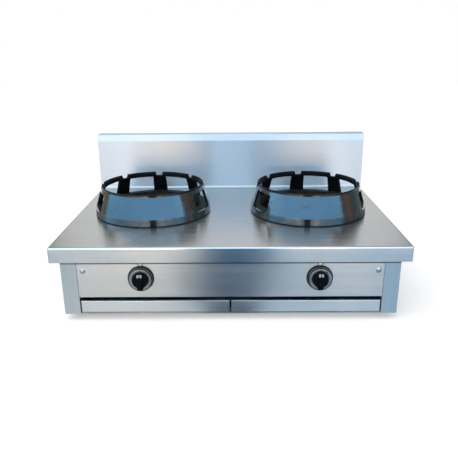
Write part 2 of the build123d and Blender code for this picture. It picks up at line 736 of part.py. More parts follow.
def burner_body(side):
    """Cast pot with a mixing tube towards the front and a yoke for the injector."""
    x = side * RING_SPACING / 2
    bottom = DECK_Z - POT_BOTTOM_DROP
    top = DECK_Z - POT_TOP_DROP
    mouth_y = FRONT_Y + MIXER_MOUTH_SETBACK
    body = rod_z(x, RING_Y, (bottom, top), POT_RADIUS)
    body = body + rod_y(x, MIXER_Z, (mouth_y, RING_Y), MIXER_RADIUS)
    body = body + rod_y(x, MIXER_Z, (mouth_y, mouth_y + MIXER_MOUTH_LENGTH), MIXER_MOUTH_RADIUS)
    body = body - rod_z(x, RING_Y, (bottom + POT_WALL, top + OVERRUN), POT_RADIUS - POT_WALL)
    body = body - rod_y(x, MIXER_Z, (mouth_y - OVERRUN, RING_Y), MIXER_BORE)
    plate_y = mouth_y - YOKE_LENGTH
    for bar_side in (-1, 1):
        bar_x = (x + bar_side * MIXER_BORE, x + bar_side * (MIXER_BORE + YOKE_BAR))
        body = body + block(bar_x, (plate_y, mouth_y + OVERRUN), (MIXER_Z - YOKE_BAR, MIXER_Z + YOKE_BAR))
    plate_half = MIXER_BORE + YOKE_BAR
    plate_z = (MIXER_Z - 2 * YOKE_BAR, MIXER_Z + 2 * YOKE_BAR)
    body = body + block((x - plate_half, x + plate_half), (plate_y, plate_y + YOKE_PLATE), plate_z)
    thread = INJECTOR_THREAD_RADIUS + INJECTOR_CLEARANCE
    return body - rod_y(x, MIXER_Z, (plate_y - OVERRUN, plate_y + YOKE_PLATE + OVERRUN), thread)


def burner_head(side):
    """Ported head that sits in the top of the pot."""
    spigot = POT_RADIUS - POT_WALL - HEAD_SPIGOT_CLEARANCE
    shoulder = HEAD_HEIGHT * 0.45
    crown = HEAD_RADIUS * 0.62
    outside = turned(
        [
            (0, -HEAD_SPIGOT),
            (spigot, -HEAD_SPIGOT),
            (spigot, 0),
            (POT_RADIUS, 0),
            (HEAD_RADIUS, shoulder),
            (HEAD_RADIUS, HEAD_HEIGHT - HEAD_WALL),
            (crown, HEAD_HEIGHT),
            (0, HEAD_HEIGHT),
        ]
    )
    inside = turned(
        [
            (0, -HEAD_SPIGOT - OVERRUN),
            (spigot - HEAD_WALL, -HEAD_SPIGOT - OVERRUN),
            (spigot - HEAD_WALL, HEAD_WALL),
            (HEAD_RADIUS - HEAD_WALL, shoulder + HEAD_WALL / 2),
            (HEAD_RADIUS - HEAD_WALL, HEAD_HEIGHT - 2 * HEAD_WALL),
            (crown, HEAD_HEIGHT - HEAD_WALL),
            (0, HEAD_HEIGHT - HEAD_WALL),
        ]
    )
    head = outside - inside
    rows = (
        (HEAD_OUTER_PORTS, HEAD_OUTER_PORT_CIRCLE, HEAD_OUTER_PORT_RADIUS),
        (HEAD_INNER_PORTS, HEAD_INNER_PORT_CIRCLE, HEAD_INNER_PORT_RADIUS),
    )
    for count, circle, radius in rows:
        for index in range(count):
            angle = 2 * math.pi * index / count
            x = circle * math.cos(angle)
            y = circle * math.sin(angle)
            head = head - rod_z(x, y, (HEAD_HEIGHT - 2 * HEAD_WALL, HEAD_HEIGHT + OVERRUN), radius)
    return Pos(side * RING_SPACING / 2, RING_Y, DECK_Z - POT_TOP_DROP) * head


def burner_support_rail():
    """Inverted channel from side to side under the two burners."""
    top = DECK_Z - POT_BOTTOM_DROP
    y_span = (RING_Y - RAIL_WIDTH / 2, RING_Y + RAIL_WIDTH / 2)
    rail = block((-SIDE_INNER_X, SIDE_INNER_X), y_span, (top - RAIL_HEIGHT, top))
    inner_y = (y_span[0] + RAIL_SHEET, y_span[1] - RAIL_SHEET)
    hollow_x = (-SIDE_INNER_X - OVERRUN, SIDE_INNER_X + OVERRUN)
    hollow = block(hollow_x, inner_y, (top - RAIL_HEIGHT - OVERRUN, top - RAIL_SHEET))
    return rail - hollow


def injector_front_y():
    """Front face of the injector's hexagon, which bears on the yoke."""
    return FRONT_Y + MIXER_MOUTH_SETBACK - YOKE_LENGTH - INJECTOR_HEX_LENGTH


def injector(side):
    """Brass jet screwed through the yoke, pointing into the mixing tube."""
    x = side * RING_SPACING / 2
    hex_y_span = (injector_front_y(), injector_front_y() + INJECTOR_HEX_LENGTH)
    thread_end = hex_y_span[1] + INJECTOR_THREAD_LENGTH
    jet = hex_y(x, MIXER_Z, hex_y_span, INJECTOR_HEX)
    jet = jet + rod_y(x, MIXER_Z, (hex_y_span[1], thread_end), INJECTOR_THREAD_RADIUS)
    jet = jet + rod_y(x, MIXER_Z, (thread_end, thread_end + INJECTOR_TIP_LENGTH), INJECTOR_TIP_RADIUS)
    bore_y = (hex_y_span[0] - OVERRUN, thread_end + INJECTOR_TIP_LENGTH + OVERRUN)
    return jet - rod_y(x, MIXER_Z, bore_y, INJECTOR_BORE)


def air_shutter(side):
    """Disc on the injector's thread that sets the primary air."""
    x = side * RING_SPACING / 2
    front = injector_front_y() + INJECTOR_HEX_LENGTH + SHUTTER_OFFSET
    y_span = (front, front + SHUTTER_THICKNESS)
    disc = rod_y(x, MIXER_Z, y_span, SHUTTER_RADIUS)
    hole_radius = INJECTOR_THREAD_RADIUS + INJECTOR_CLEARANCE
    return disc - rod_y(x, MIXER_Z, (front - OVERRUN, y_span[1] + OVERRUN), hole_radius)


# Gas supply


def tap_back_y():
    """Rear face of the tap bodies."""
    return FRONT_Y + TAP_BODY_FRONT + TAP_BODY_LENGTH


def inlet_tail_y():
    """Front end of the inlet fitting, where the pipe meets it."""
    return CASE_BACK_Y - PANEL_SHEET - INLET_TAIL


def gas_manifold():
    """Pipe across behind the taps and back to the inlet, with a stub for each tap."""
    y = FRONT_Y + PIPE_SETBACK
    start_x = -TAP_SPACING / 2 - PIPE_OVERHANG
    points = [(start_x, y, TAP_Z), (INLET_X, y, TAP_Z), (INLET_X, inlet_tail_y(), TAP_Z)]
    bore = PIPE_RADIUS - PIPE_WALL
    pipe = tube_along(points, PIPE_RADIUS, PIPE_BEND)
    for side in SIDES.values():
        pipe = pipe + rod_y(side * TAP_SPACING / 2, TAP_Z, (tap_back_y(), y), TAP_STUB_RADIUS)
    pipe = pipe - tube_along([(start_x + PIPE_WALL, y, TAP_Z)] + points[1:], bore, PIPE_BEND)
    for side in SIDES.values():
        pipe = pipe - rod_y(side * TAP_SPACING / 2, TAP_Z, (tap_back_y() - OVERRUN, y), TAP_STUB_RADIUS / 2)
    return pipe


def gas_inlet():
    """Threaded connection at the back, with a hexagon that bears on the back panel."""
    hexagon = (CASE_BACK_Y, CASE_BACK_Y + INLET_HEX_LENGTH)
    end = hexagon[1] + INLET_THREAD_LENGTH
    fitting = hex_y(INLET_X, TAP_Z, hexagon, INLET_HEX)
    fitting = fitting + rod_y(INLET_X, TAP_Z, (inlet_tail_y(), end), INLET_THREAD_RADIUS)
    return fitting - rod_y(INLET_X, TAP_Z, (inlet_tail_y() - OVERRUN, end + OVERRUN), INLET_BORE)


def manifold_bracket(side):
    """Plate that hangs from the worktop and holds the pipe."""
    x = side * (TAP_SPACING / 2 - BRACKET_TAP_OFFSET)
    y = FRONT_Y + PIPE_SETBACK
    y_span = (y - BRACKET_WIDTH / 2, y + BRACKET_WIDTH / 2)
    low = TAP_Z - PIPE_RADIUS - BRACKET_EDGE
    plate = block((x, x + side * BRACKET_SHEET), y_span, (low, UNDER_DECK_Z))
    flange = block((x, x + side * BRACKET_FLANGE), y_span, (UNDER_DECK_Z - BRACKET_SHEET, UNDER_DECK_Z))
    hole = rod_x(y, TAP_Z, (x - BRACKET_FLANGE, x + BRACKET_FLANGE), PIPE_RADIUS + BRACKET_CLEARANCE)
    return plate + flange - hole


# Taps and knobs


def tap_body(side):
    """Brass tap body with a neck towards the panel and a bore for the plug and spring."""
    x = side * TAP_SPACING / 2
    front = FRONT_Y + TAP_BODY_FRONT
    neck_front = front - TAP_NECK_LENGTH
    cavity_front = neck_front + TAP_NECK_CAP
    plug_front = FRONT_Y + PLUG_SETBACK
    plug_back = plug_front + PLUG_LENGTH + PLUG_END_CLEARANCE
    half = TAP_BODY_HALF
    body = block((x - half, x + half), (front, tap_back_y()), (TAP_Z - half, TAP_Z + half))
    body = body + rod_y(x, TAP_Z, (neck_front, front), TAP_NECK_RADIUS)
    body = body - rod_y(x, TAP_Z, (cavity_front, plug_front), TAP_SPRING_BORE)
    body = body - rod_y(x, TAP_Z, (plug_front, plug_back), PLUG_RADIUS + PLUG_CLEARANCE)
    body = body - rod_y(x, TAP_Z, (plug_back - OVERRUN, tap_back_y() + OVERRUN), TAP_STUB_RADIUS / 2)
    cap_y = (neck_front - OVERRUN, cavity_front + OVERRUN)
    body = body - rod_y(x, TAP_Z, cap_y, SPINDLE_RADIUS + SPINDLE_CAP_CLEARANCE)
    outlet_y = FRONT_Y + TAP_OUTLET_SETBACK
    return body - rod_z(x, outlet_y, (TAP_Z - half - OVERRUN, TAP_Z), PLUG_PORT_RADIUS)


def tap_plug(side):
    """Turning plug with a cross port and a socket for the spindle."""
    x = side * TAP_SPACING / 2
    front = FRONT_Y + PLUG_SETBACK
    plug = rod_y(x, TAP_Z, (front, front + PLUG_LENGTH), PLUG_RADIUS)
    port_z = (TAP_Z - PLUG_RADIUS - OVERRUN, TAP_Z)
    plug = plug - rod_z(x, FRONT_Y + TAP_OUTLET_SETBACK, port_z, PLUG_PORT_RADIUS)
    socket_end = front + SPINDLE_REACH + KNOB_TRAVEL + KNOB_TRAVEL_CLEARANCE
    return plug - rod_y(x, TAP_Z, (front - OVERRUN, socket_end), SPINDLE_RADIUS + SPINDLE_CLEARANCE)


def collar_y_span():
    """Place of the spindle's collar, just behind the cap of the tap's neck."""
    front = FRONT_Y + TAP_BODY_FRONT - TAP_NECK_LENGTH + TAP_NECK_CAP + SPRING_CLEARANCE
    return (front, front + SPINDLE_COLLAR_LENGTH)


def tap_spindle(side):
    """Spindle from the knob into the plug, with the collar that the spring pushes on."""
    x = side * TAP_SPACING / 2
    front = FRONT_Y + KNOB_SKIRT_BACK - KNOB_BORE_DEPTH + DIAL_CLEARANCE
    back = FRONT_Y + PLUG_SETBACK + SPINDLE_REACH
    spindle = rod_y(x, TAP_Z, (front, back), SPINDLE_RADIUS)
    return spindle + rod_y(x, TAP_Z, collar_y_span(), SPINDLE_COLLAR_RADIUS)


def tap_spring(side):
    """Coil spring between the collar and the plug, one unbroken wire."""
    start = collar_y_span()[1] + SPRING_CLEARANCE + SPRING_WIRE_RADIUS
    end = FRONT_Y + PLUG_SETBACK - SPRING_CLEARANCE - SPRING_WIRE_RADIUS
    length = end - start
    coil = Helix(pitch=length / SPRING_TURNS, height=length, radius=SPRING_COIL_RADIUS)
    wire = sweep(Plane(coil @ 0, z_dir=coil % 0) * Circle(SPRING_WIRE_RADIUS), path=coil, is_frenet=True)
    return Pos(side * TAP_SPACING / 2, start, TAP_Z) * Rot(-90, 0, 0) * wire


def spring_gap():
    """Least gap between neighbouring turns of the spring, measured on points."""
    start = collar_y_span()[1] + SPRING_CLEARANCE + SPRING_WIRE_RADIUS
    end = FRONT_Y + PLUG_SETBACK - SPRING_CLEARANCE - SPRING_WIRE_RADIUS
    steps = 24 * SPRING_TURNS
    points = []
    for step in range(steps + 1):
        angle = 2 * math.pi * SPRING_TURNS * step / steps
        along = (end - start) * step / steps
        across, up = SPRING_COIL_RADIUS * math.cos(angle), SPRING_COIL_RADIUS * math.sin(angle)
        points.append(Vector(across, up, along))
    least = end - start
    for first in range(len(points)):
        for second in range(first + 12, len(points)):
            least = min(least, (points[first] - points[second]).length)
    return least - 2 * SPRING_WIRE_RADIUS


def knob(side):
    """Knob with a hollow skirt, a round hub and a bar grip. It is built facing -Y."""
    back = FRONT_Y + KNOB_SKIRT_BACK
    front = FRONT_Y + KNOB_SKIRT_FRONT
    hub_front = front - KNOB_HUB_DEPTH
    grip_front = front - KNOB_GRIP_DEPTH
    x = side * TAP_SPACING / 2
    depth = KNOB_SKIRT_DEPTH
    skirt = turned([(0, 0), (KNOB_SKIRT_RADIUS, 0), (KNOB_SKIRT_FRONT_RADIUS, depth), (0, depth)])
    hollow = depth - KNOB_WALL
    skirt = skirt - Pos(0, 0, hollow / 2) * Cylinder(KNOB_SKIRT_RADIUS - KNOB_WALL, hollow)
    shape = Pos(x, back, TAP_Z) * Rot(90, 0, 0) * skirt
    hub = rod_y(x, TAP_Z, (hub_front, front + OVERRUN), KNOB_HUB_RADIUS)
    hub = chamfer(hub.edges().filter_by(GeomType.CIRCLE).sort_by(Axis.Y)[0], KNOB_HUB_CHAMFER)
    grip = knob_grip(x, grip_front, front + OVERRUN)
    boss = rod_y(x, TAP_Z, (front, back), KNOB_BOSS_RADIUS)
    shape = shape + hub + grip + boss
    bore_y = (back - KNOB_BORE_DEPTH, back + OVERRUN)
    return shape - rod_y(x, TAP_Z, bore_y, SPINDLE_RADIUS + SPINDLE_CLEARANCE)


def knob_grip(x, front, back):
    """Bar across the hub, with rounded ends and edges."""
    half_width = KNOB_GRIP_WIDTH / 2
    z_span = (TAP_Z - KNOB_HUB_RADIUS, TAP_Z + KNOB_HUB_RADIUS)
    bar = block((x - half_width, x + half_width), (front, back), z_span)
    bar = bar & rod_y(x, TAP_Z, (front, back), KNOB_HUB_RADIUS)
    front_edges = bar.edges().group_by(Axis.Y)[0]
    return fillet(front_edges, KNOB_GRIP_ROUND)


def dial_plate(side):
    """Thin bright ring on the front of the knob's skirt."""
    x = side * TAP_SPACING / 2
    back = FRONT_Y + KNOB_SKIRT_FRONT
    y_span = (back - DIAL_THICKNESS, back)
    plate = rod_y(x, TAP_Z, y_span, DIAL_RADIUS)
    hole_y = (y_span[0] - OVERRUN, y_span[1] + OVERRUN)
    return plate - rod_y(x, TAP_Z, hole_y, KNOB_HUB_RADIUS + DIAL_CLEARANCE)


def bezel(side):
    """Ring fixed to the control panel behind the knob."""
    x = side * TAP_SPACING / 2
    y_span = (CASE_FRONT_Y - BEZEL_THICKNESS, CASE_FRONT_Y)
    ring = rod_y(x, TAP_Z, y_span, BEZEL_RADIUS)
    hole = SPINDLE_RADIUS + BEZEL_HOLE_CLEARANCE
    return ring - rod_y(x, TAP_Z, (y_span[0] - OVERRUN, y_span[1] + OVERRUN), hole)


# Gas tubes, pilots and thermocouples


def burner_tube(side):
    """Tube from the underside of the tap to the injector."""
    tap_x = side * TAP_SPACING / 2
    burner_x = side * RING_SPACING / 2
    outlet_y = FRONT_Y + TAP_OUTLET_SETBACK
    end_y = injector_front_y()
    points = [
        (tap_x, outlet_y, TAP_Z - TAP_BODY_HALF),
        (tap_x, outlet_y, MIXER_Z),
        (burner_x, (outlet_y + end_y) / 2 + BURNER_TUBE_BEND, MIXER_Z),
        (burner_x, end_y, MIXER_Z),
    ]
    return tube_along(points, BURNER_TUBE_RADIUS, BURNER_TUBE_BEND)


def pilot_place(side):
    """Centre of a pilot burner."""
    return (side * (RING_SPACING / 2 + PILOT_SIDE_OFFSET), RING_Y - PILOT_FRONT_OFFSET)


def probe_place(side):
    """Centre of a thermocouple."""
    return (side * (RING_SPACING / 2 + PROBE_SIDE_OFFSET), RING_Y - PROBE_FRONT_OFFSET)


def pilot_burner(side):
    """Small upright burner that stands in the bowl beside the main head."""
    x, y = pilot_place(side)
    seat = BOWL_FLOOR_Z + BOWL_SHEET
    pilot = rod_z(x, y, (seat - PILOT_TAIL, seat + PILOT_HEIGHT), PILOT_RADIUS)
    pilot = pilot + rod_z(x, y, (seat, seat + COLLAR_HEIGHT), PILOT_RADIUS + COLLAR_EXTRA_RADIUS)
    hood_z = seat + PILOT_HEIGHT - PILOT_RADIUS
    return pilot - rod_y(x, hood_z, (y, y + 2 * PILOT_RADIUS), PILOT_RADIUS / 2)


def pilot_tube(side):
    """Thin gas tube from the side of the tap to the foot of the pilot burner."""
    x, y = pilot_place(side)
    foot_z = BOWL_FLOOR_Z + BOWL_SHEET - PILOT_TAIL
    low = DECK_Z - PILOT_TUBE_DROP
    port_x = side * (TAP_SPACING / 2 + TAP_BODY_HALF)
    riser_x = port_x + side * PILOT_TUBE_OFFSET
    front = FRONT_Y + PILOT_TUBE_SETBACK
    port_z = TAP_Z + PILOT_TUBE_RISE
    points = [
        (x, y, foot_z),
        (x, y, low),
        (riser_x, front, low),
        (riser_x, front, port_z),
        (port_x, front, port_z),
    ]
    return tube_along(points, PILOT_TUBE_RADIUS, bend_radii(points))


def thermocouple(side):
    """Probe beside the pilot and its lead to the tap."""
    x, y = probe_place(side)
    seat = BOWL_FLOOR_Z + BOWL_SHEET
    probe = rod_z(x, y, (seat - PROBE_TAIL, seat + PROBE_HEIGHT), PROBE_RADIUS)
    probe = probe + rod_z(x, y, (seat, seat + COLLAR_HEIGHT), PROBE_RADIUS + COLLAR_EXTRA_RADIUS)
    low = DECK_Z - LEAD_DROP
    port_x = side * (TAP_SPACING / 2 + TAP_BODY_HALF)
    riser_x = port_x + side * LEAD_OFFSET
    front = FRONT_Y + LEAD_SETBACK
    port_z = TAP_Z - LEAD_RISE
    points = [
        (x, y, seat - PROBE_TAIL),
        (x, y, low),
        (riser_x, front, low),
        (riser_x, front, port_z),
        (port_x, front, port_z),
    ]
    return probe + tube_along(points, LEAD_RADIUS, bend_radii(points))


def bend_radii(points):
    """Radius of each bend of a small tube, kept to what its two runs allow."""
    radii = []
    for before, corner, after in zip(points, points[1:], points[2:]):
        runs = (Vector(*corner) - Vector(*before)).length, (Vector(*after) - Vector(*corner)).length
        radii.append(min(SMALL_TUBE_BEND, 0.45 * min(runs)))
    return radii


def case_pieces():
    """Worktop, splashback, posts, panels and feet."""
    pieces = {"worktop": worktop(), "splashback": splashback()}
    for side_name, side in SIDES.items():
        pieces["front_" + side_name + "_post"] = corner_post(side, -1)
        pieces["rear_" + side_name + "_post"] = corner_post(side, 1)
        pieces[side_name + "_side_panel"] = side_panel(side)
    pieces["back_panel"] = back_panel()
    pieces["bottom_panel"] = bottom_panel()
    pieces["control_panel"] = control_panel()
    pieces["control_panel_screws"] = control_panel_screws()
    for name, place in foot_places().items():
        pieces[name] = foot(*place)
    return pieces


def tray_pieces():
    """Drip trays and runners."""
    pieces = {"centre_tray_runner": centre_runner()}
    for side_name, side in SIDES.items():
        pieces[side_name + "_drip_tray"] = drip_tray(side)
        pieces[side_name + "_tray_runner"] = side_runner(side)
    return pieces


def burner_pieces():
    """Wok rings, bowls, burners, injectors, pilots and thermocouples."""
    pieces = {"burner_support_rail": burner_support_rail()}
    turns = {"left": LEFT_RING_TURN, "right": RIGHT_RING_TURN}
    for side_name, side in SIDES.items():
        pieces[side_name + "_wok_ring"] = wok_ring(side, turns[side_name])
        pieces[side_name + "_burner_bowl"] = burner_bowl(side)
        pieces[side_name + "_burner_body"] = burner_body(side)
        pieces[side_name + "_burner_head"] = burner_head(side)
        pieces[side_name + "_injector"] = injector(side)
        pieces[side_name + "_air_shutter"] = air_shutter(side)
        pieces[side_name + "_pilot_burner"] = pilot_burner(side)
        pieces[side_name + "_pilot_tube"] = pilot_tube(side)
        pieces[side_name + "_thermocouple"] = thermocouple(side)
        pieces[side_name + "_burner_tube"] = burner_tube(side)
    return pieces


def tap_pieces():
    """Pipe, inlet, taps and knobs."""
    pieces = {"gas_manifold": gas_manifold(), "gas_inlet": gas_inlet()}
    for side_name, side in SIDES.items():
        pieces[side_name + "_manifold_bracket"] = manifold_bracket(side)
        pieces[side_name + "_tap_body"] = tap_body(side)
        pieces[side_name + "_tap_plug"] = tap_plug(side)
        pieces[side_name + "_tap_spindle"] = tap_spindle(side)
        pieces[side_name + "_tap_spring"] = tap_spring(side)
        pieces[side_name + "_knob"] = knob(side)
        pieces[side_name + "_dial_plate"] = dial_plate(side)
        pieces[side_name + "_bezel"] = bezel(side)
    return pieces


def main():
    """Build and write every piece."""
    os.makedirs("parts", exist_ok=True)
    print("least gap between spring turns", round(spring_gap(), 2))
    for pieces in (case_pieces(), tray_pieces(), burner_pieces(), tap_pieces()):
        for name, shape in pieces.items():
            write(name, shape)


main()
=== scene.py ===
import math

import bmesh
import bpy
from mathutils import Matrix, Vector


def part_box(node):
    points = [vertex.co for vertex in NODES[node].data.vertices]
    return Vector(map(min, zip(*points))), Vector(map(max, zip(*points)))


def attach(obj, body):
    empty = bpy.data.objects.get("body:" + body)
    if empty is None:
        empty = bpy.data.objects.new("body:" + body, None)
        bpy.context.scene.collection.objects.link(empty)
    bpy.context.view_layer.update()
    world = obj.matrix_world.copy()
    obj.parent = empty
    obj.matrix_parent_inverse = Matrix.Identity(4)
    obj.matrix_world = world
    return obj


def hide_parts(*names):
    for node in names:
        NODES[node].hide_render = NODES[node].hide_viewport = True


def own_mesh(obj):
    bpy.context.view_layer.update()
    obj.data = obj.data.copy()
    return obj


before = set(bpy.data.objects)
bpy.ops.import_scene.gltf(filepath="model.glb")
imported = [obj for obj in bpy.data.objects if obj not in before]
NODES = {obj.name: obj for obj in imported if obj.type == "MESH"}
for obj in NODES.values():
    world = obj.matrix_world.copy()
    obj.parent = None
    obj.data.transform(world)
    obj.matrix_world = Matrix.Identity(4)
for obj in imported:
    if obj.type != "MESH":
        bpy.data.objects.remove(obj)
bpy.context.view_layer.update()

SIDES = {"left": -1, "right": 1}

# Places that several pieces share, in metres in the CAD's frame.
FRONT = -0.35225  # front face of the worktop's apron
DEPTH = 0.7
HALF_WIDTH = 0.5
DECK = 0.222  # top of the deck
CASE_INSET = 0.0045  # from the apron's face to the faces of the panel and the posts
PANEL_FACE = FRONT + CASE_INSET
RING_X, RING_Y = 0.255, 0.00275
KNOB_X, KNOB_Z = 0.248, 0.1305
SCREW_X, SCREW_Z = 0.409, 0.152
SCREW_HOLE_RADIUS = 0.0027

# Leaning wall of a wok ring: heights above the deck and outer radii.
WALL_LOW, WALL_TOP = 0.024, 0.094
WALL_LOW_RADIUS, WALL_TOP_RADIUS = 0.1865, 0.1645
GROOVE_RADIUS = 0.181  # outer radius of the groove under a ring's base

WELD = 1e-6
BEND_STEPS = 6


def add_object(name, data):
    item = bpy.data.objects.new(name, data)
    bpy.context.scene.collection.objects.link(item)
    return item


# Camera and surroundings


def set_camera():
    """Camera at the photograph's place, looking down 19 degrees, level to half a degree."""
    pitch, yaw, roll = (math.radians(angle) for angle in (18.906, -0.530, -0.461))
    stand = (0.01022, -1.69605, 0.73532)
    turn = Matrix.Rotation(-yaw, 4, "Z") @ Matrix.Rotation(math.pi / 2 - pitch, 4, "X")
    camera = add_object("camera", bpy.data.cameras.new("camera"))
    camera.matrix_world = Matrix.Translation(stand) @ turn @ Matrix.Rotation(roll, 4, "Z")
    camera.data.sensor_width = 36.0
    camera.data.lens = 41.69
    camera.data.clip_start = 0.02
    bpy.context.scene.camera = camera


def rgba(colour):
    """Colour with its alpha, from one number or three."""
    return (*(colour if isinstance(colour, tuple) else (colour,) * 3), 1.0)


class Shading:
    """A material or world and the nodes in it."""

    def __init__(self, name, world=False):
        self.data = bpy.data.worlds.new(name) if world else bpy.data.materials.new(name)
        self.data.use_nodes = True
        self.tree = self.data.node_tree
        self.tree.nodes.clear()
        self.out = self.add("ShaderNodeOutputWorld" if world else "ShaderNodeOutputMaterial")

    def add(self, kind, settings=None, **inputs):
        node = self.tree.nodes.new(kind)
        for key, value in (settings or {}).items():
            setattr(node, key, value)
        for key, value in inputs.items():
            self.put(node, key, value)
        return node

    def put(self, node, key, value):
        """Set or link the input called key, with _ for a space, or a number as in0."""
        if key.startswith("in") and key[2:].isdigit():
            socket = node.inputs[int(key[2:])]
        else:
            socket = node.inputs[key.replace("_", " ")]
        if isinstance(value, bpy.types.NodeSocket):
            self.tree.links.new(value, socket)
        else:
            socket.default_value = value

    def math(self, how, *values):
        node = self.add("ShaderNodeMath", {"operation": how})
        for index, value in enumerate(values):
            self.put(node, f"in{index}", value)
        return node.outputs[0]

    def times(self, first, second):
        return self.math("MULTIPLY", first, second)

    def minus(self, first, second):
        return self.math("SUBTRACT", first, second)

    def times_plus(self, first, second, third):
        return self.math("MULTIPLY_ADD", first, second, third)

    def vary(self, value, amount, middle):
        """Middle, moved by amount for each unit that a 0 to 1 value is above one half."""
        return self.times_plus(self.minus(value, 0.5), amount, middle)

    def place(self):
        return self.add("ShaderNodeTexCoord").outputs["Object"]

    def surface_data(self, name):
        """Position or Normal of the shaded point."""
        return self.add("ShaderNodeNewGeometry").outputs[name]

    def parts(self, vector):
        """The x, y and z of a vector."""
        return self.add("ShaderNodeSeparateXYZ", Vector=vector).outputs

    def stretched(self, scale):
        """Object coordinates times a scale for each axis."""
        return self.add("ShaderNodeMapping", Vector=self.place(), Scale=scale).outputs[0]

    def noise(self, scale, detail=3.0, roughness=0.5, vector=None):
        """Noise in object coordinates, or in those given."""
        settings = {"Scale": scale, "Detail": detail, "Roughness": roughness}
        where = vector or self.place()
        return self.add("ShaderNodeTexNoise", Vector=where, **settings).outputs["Fac"]

    def ramp(self, value, *stops):
        """Colour ramp with (place, colour) stops; a colour is one number or three."""
        node = self.add("ShaderNodeValToRGB", Fac=value)
        elements = node.color_ramp.elements
        while len(elements) < len(stops):
            elements.new(0.5)
        for element, (spot, colour) in zip(elements, stops):
            element.position = spot
            element.color = rgba(colour)
        return node.outputs["Color"]

    def spread(self, value, low, high, start=0.0, end=1.0):
        """Map start..end to low..high."""
        limits = {"From_Min": start, "From_Max": end, "To_Min": low, "To_Max": high}
        return self.add("ShaderNodeMapRange", Value=value, **limits).outputs[0]

    def share(self, value, start, end):
        """How far a value has come from start to end, from 0 to 1."""
        return self.spread(value, 0.0, 1.0, start, end)

    def blend(self, share, first, second, how="MIX"):
        """Mix of two colours, each a socket, one number or three."""
        node = self.add("ShaderNodeMix", {"data_type": "RGBA", "blend_type": how}, in0=share)
        for key, value in (("in6", first), ("in7", second)):
            self.put(node, key, value if isinstance(value, bpy.types.NodeSocket) else rgba(value))
        return node.outputs[2]

    def bump(self, *layers):
        """Bump from (height, depth in metres) layers."""
        below = {}
        for height, depth in layers:
            node = self.add("ShaderNodeBump", Height=height, Distance=depth, **below)
            below = {"Normal": node.outputs[0]}
        return node.outputs[0]

    def surface(self, **inputs):
        node = self.add("ShaderNodeBsdfPrincipled", **inputs)
        self.put(self.out, "Surface", node.outputs[0])
        return self.data


def seen_rays(shading):
    """One for camera, glossy and transmission rays, which see the background."""
    rays = shading.add("ShaderNodeLightPath").outputs
    seen = shading.math("MAXIMUM", rays["Is Camera Ray"], rays["Is Glossy Ray"])
    return shading.math("MAXIMUM", seen, rays["Is Transmission Ray"])


def set_world():
    """White to see, and a plain soft level of light for everything else."""
    world = Shading("surroundings", world=True)
    colour = world.blend(seen_rays(world), (0.62, 0.63, 0.65), (1.0, 1.0, 1.0))
    back = world.add("ShaderNodeBackground", Color=colour, Strength=1.0)
    world.put(world.out, "Surface", back.outputs[0])
    bpy.context.scene.world = world.data


def sheet_mesh(name, corners, material, faces=None):
    """Object of flat faces, by default a single one with four corners."""
    mesh = bpy.data.meshes.new(name)
    mesh.from_pydata(corners, [], faces or [(0, 1, 2, 3)])
    mesh.update()
    item = add_object(name, mesh)
    mesh.materials.append(material)
    return item


def level_rectangle(x_span, y_span, z):
    (left, right), (near, far) = x_span, y_span
    return [(left, near, z), (right, near, z), (right, far, z), (left, far, z)]


def make_floor():
    """Pale floor. The share that it gives out keeps it white where no shadow falls."""
    half, given_out = 9.0, 0.36
    look = Shading("pale_floor")
    strength = look.times(seen_rays(look), given_out)
    glow = look.add("ShaderNodeEmission", Color=(1, 1, 1, 1), Strength=strength)
    grain = look.noise(40.0)
    matt = look.add("ShaderNodeBsdfDiffuse", Color=look.ramp(grain, (0.3, 0.80), (0.7, 0.82)))
    both = look.add("ShaderNodeAddShader", in0=matt.outputs[0], in1=glow.outputs[0])
    look.put(look.out, "Surface", both.outputs[0])
    floor = sheet_mesh("floor", level_rectangle((-half, half), (-half, half), 0), look.data)


def only_in_reflections(item):
    """A card that the polished surfaces show and that neither lights nor shades anything."""
    for rays in ("camera", "diffuse", "shadow", "transmission", "volume_scatter"):
        setattr(item, "visible_" + rays, False)


def glowing(look, colour):
    glow = look.add("ShaderNodeEmission", Color=colour, Strength=1.0)
    look.put(look.out, "Surface", glow.outputs[0])
    return look.data


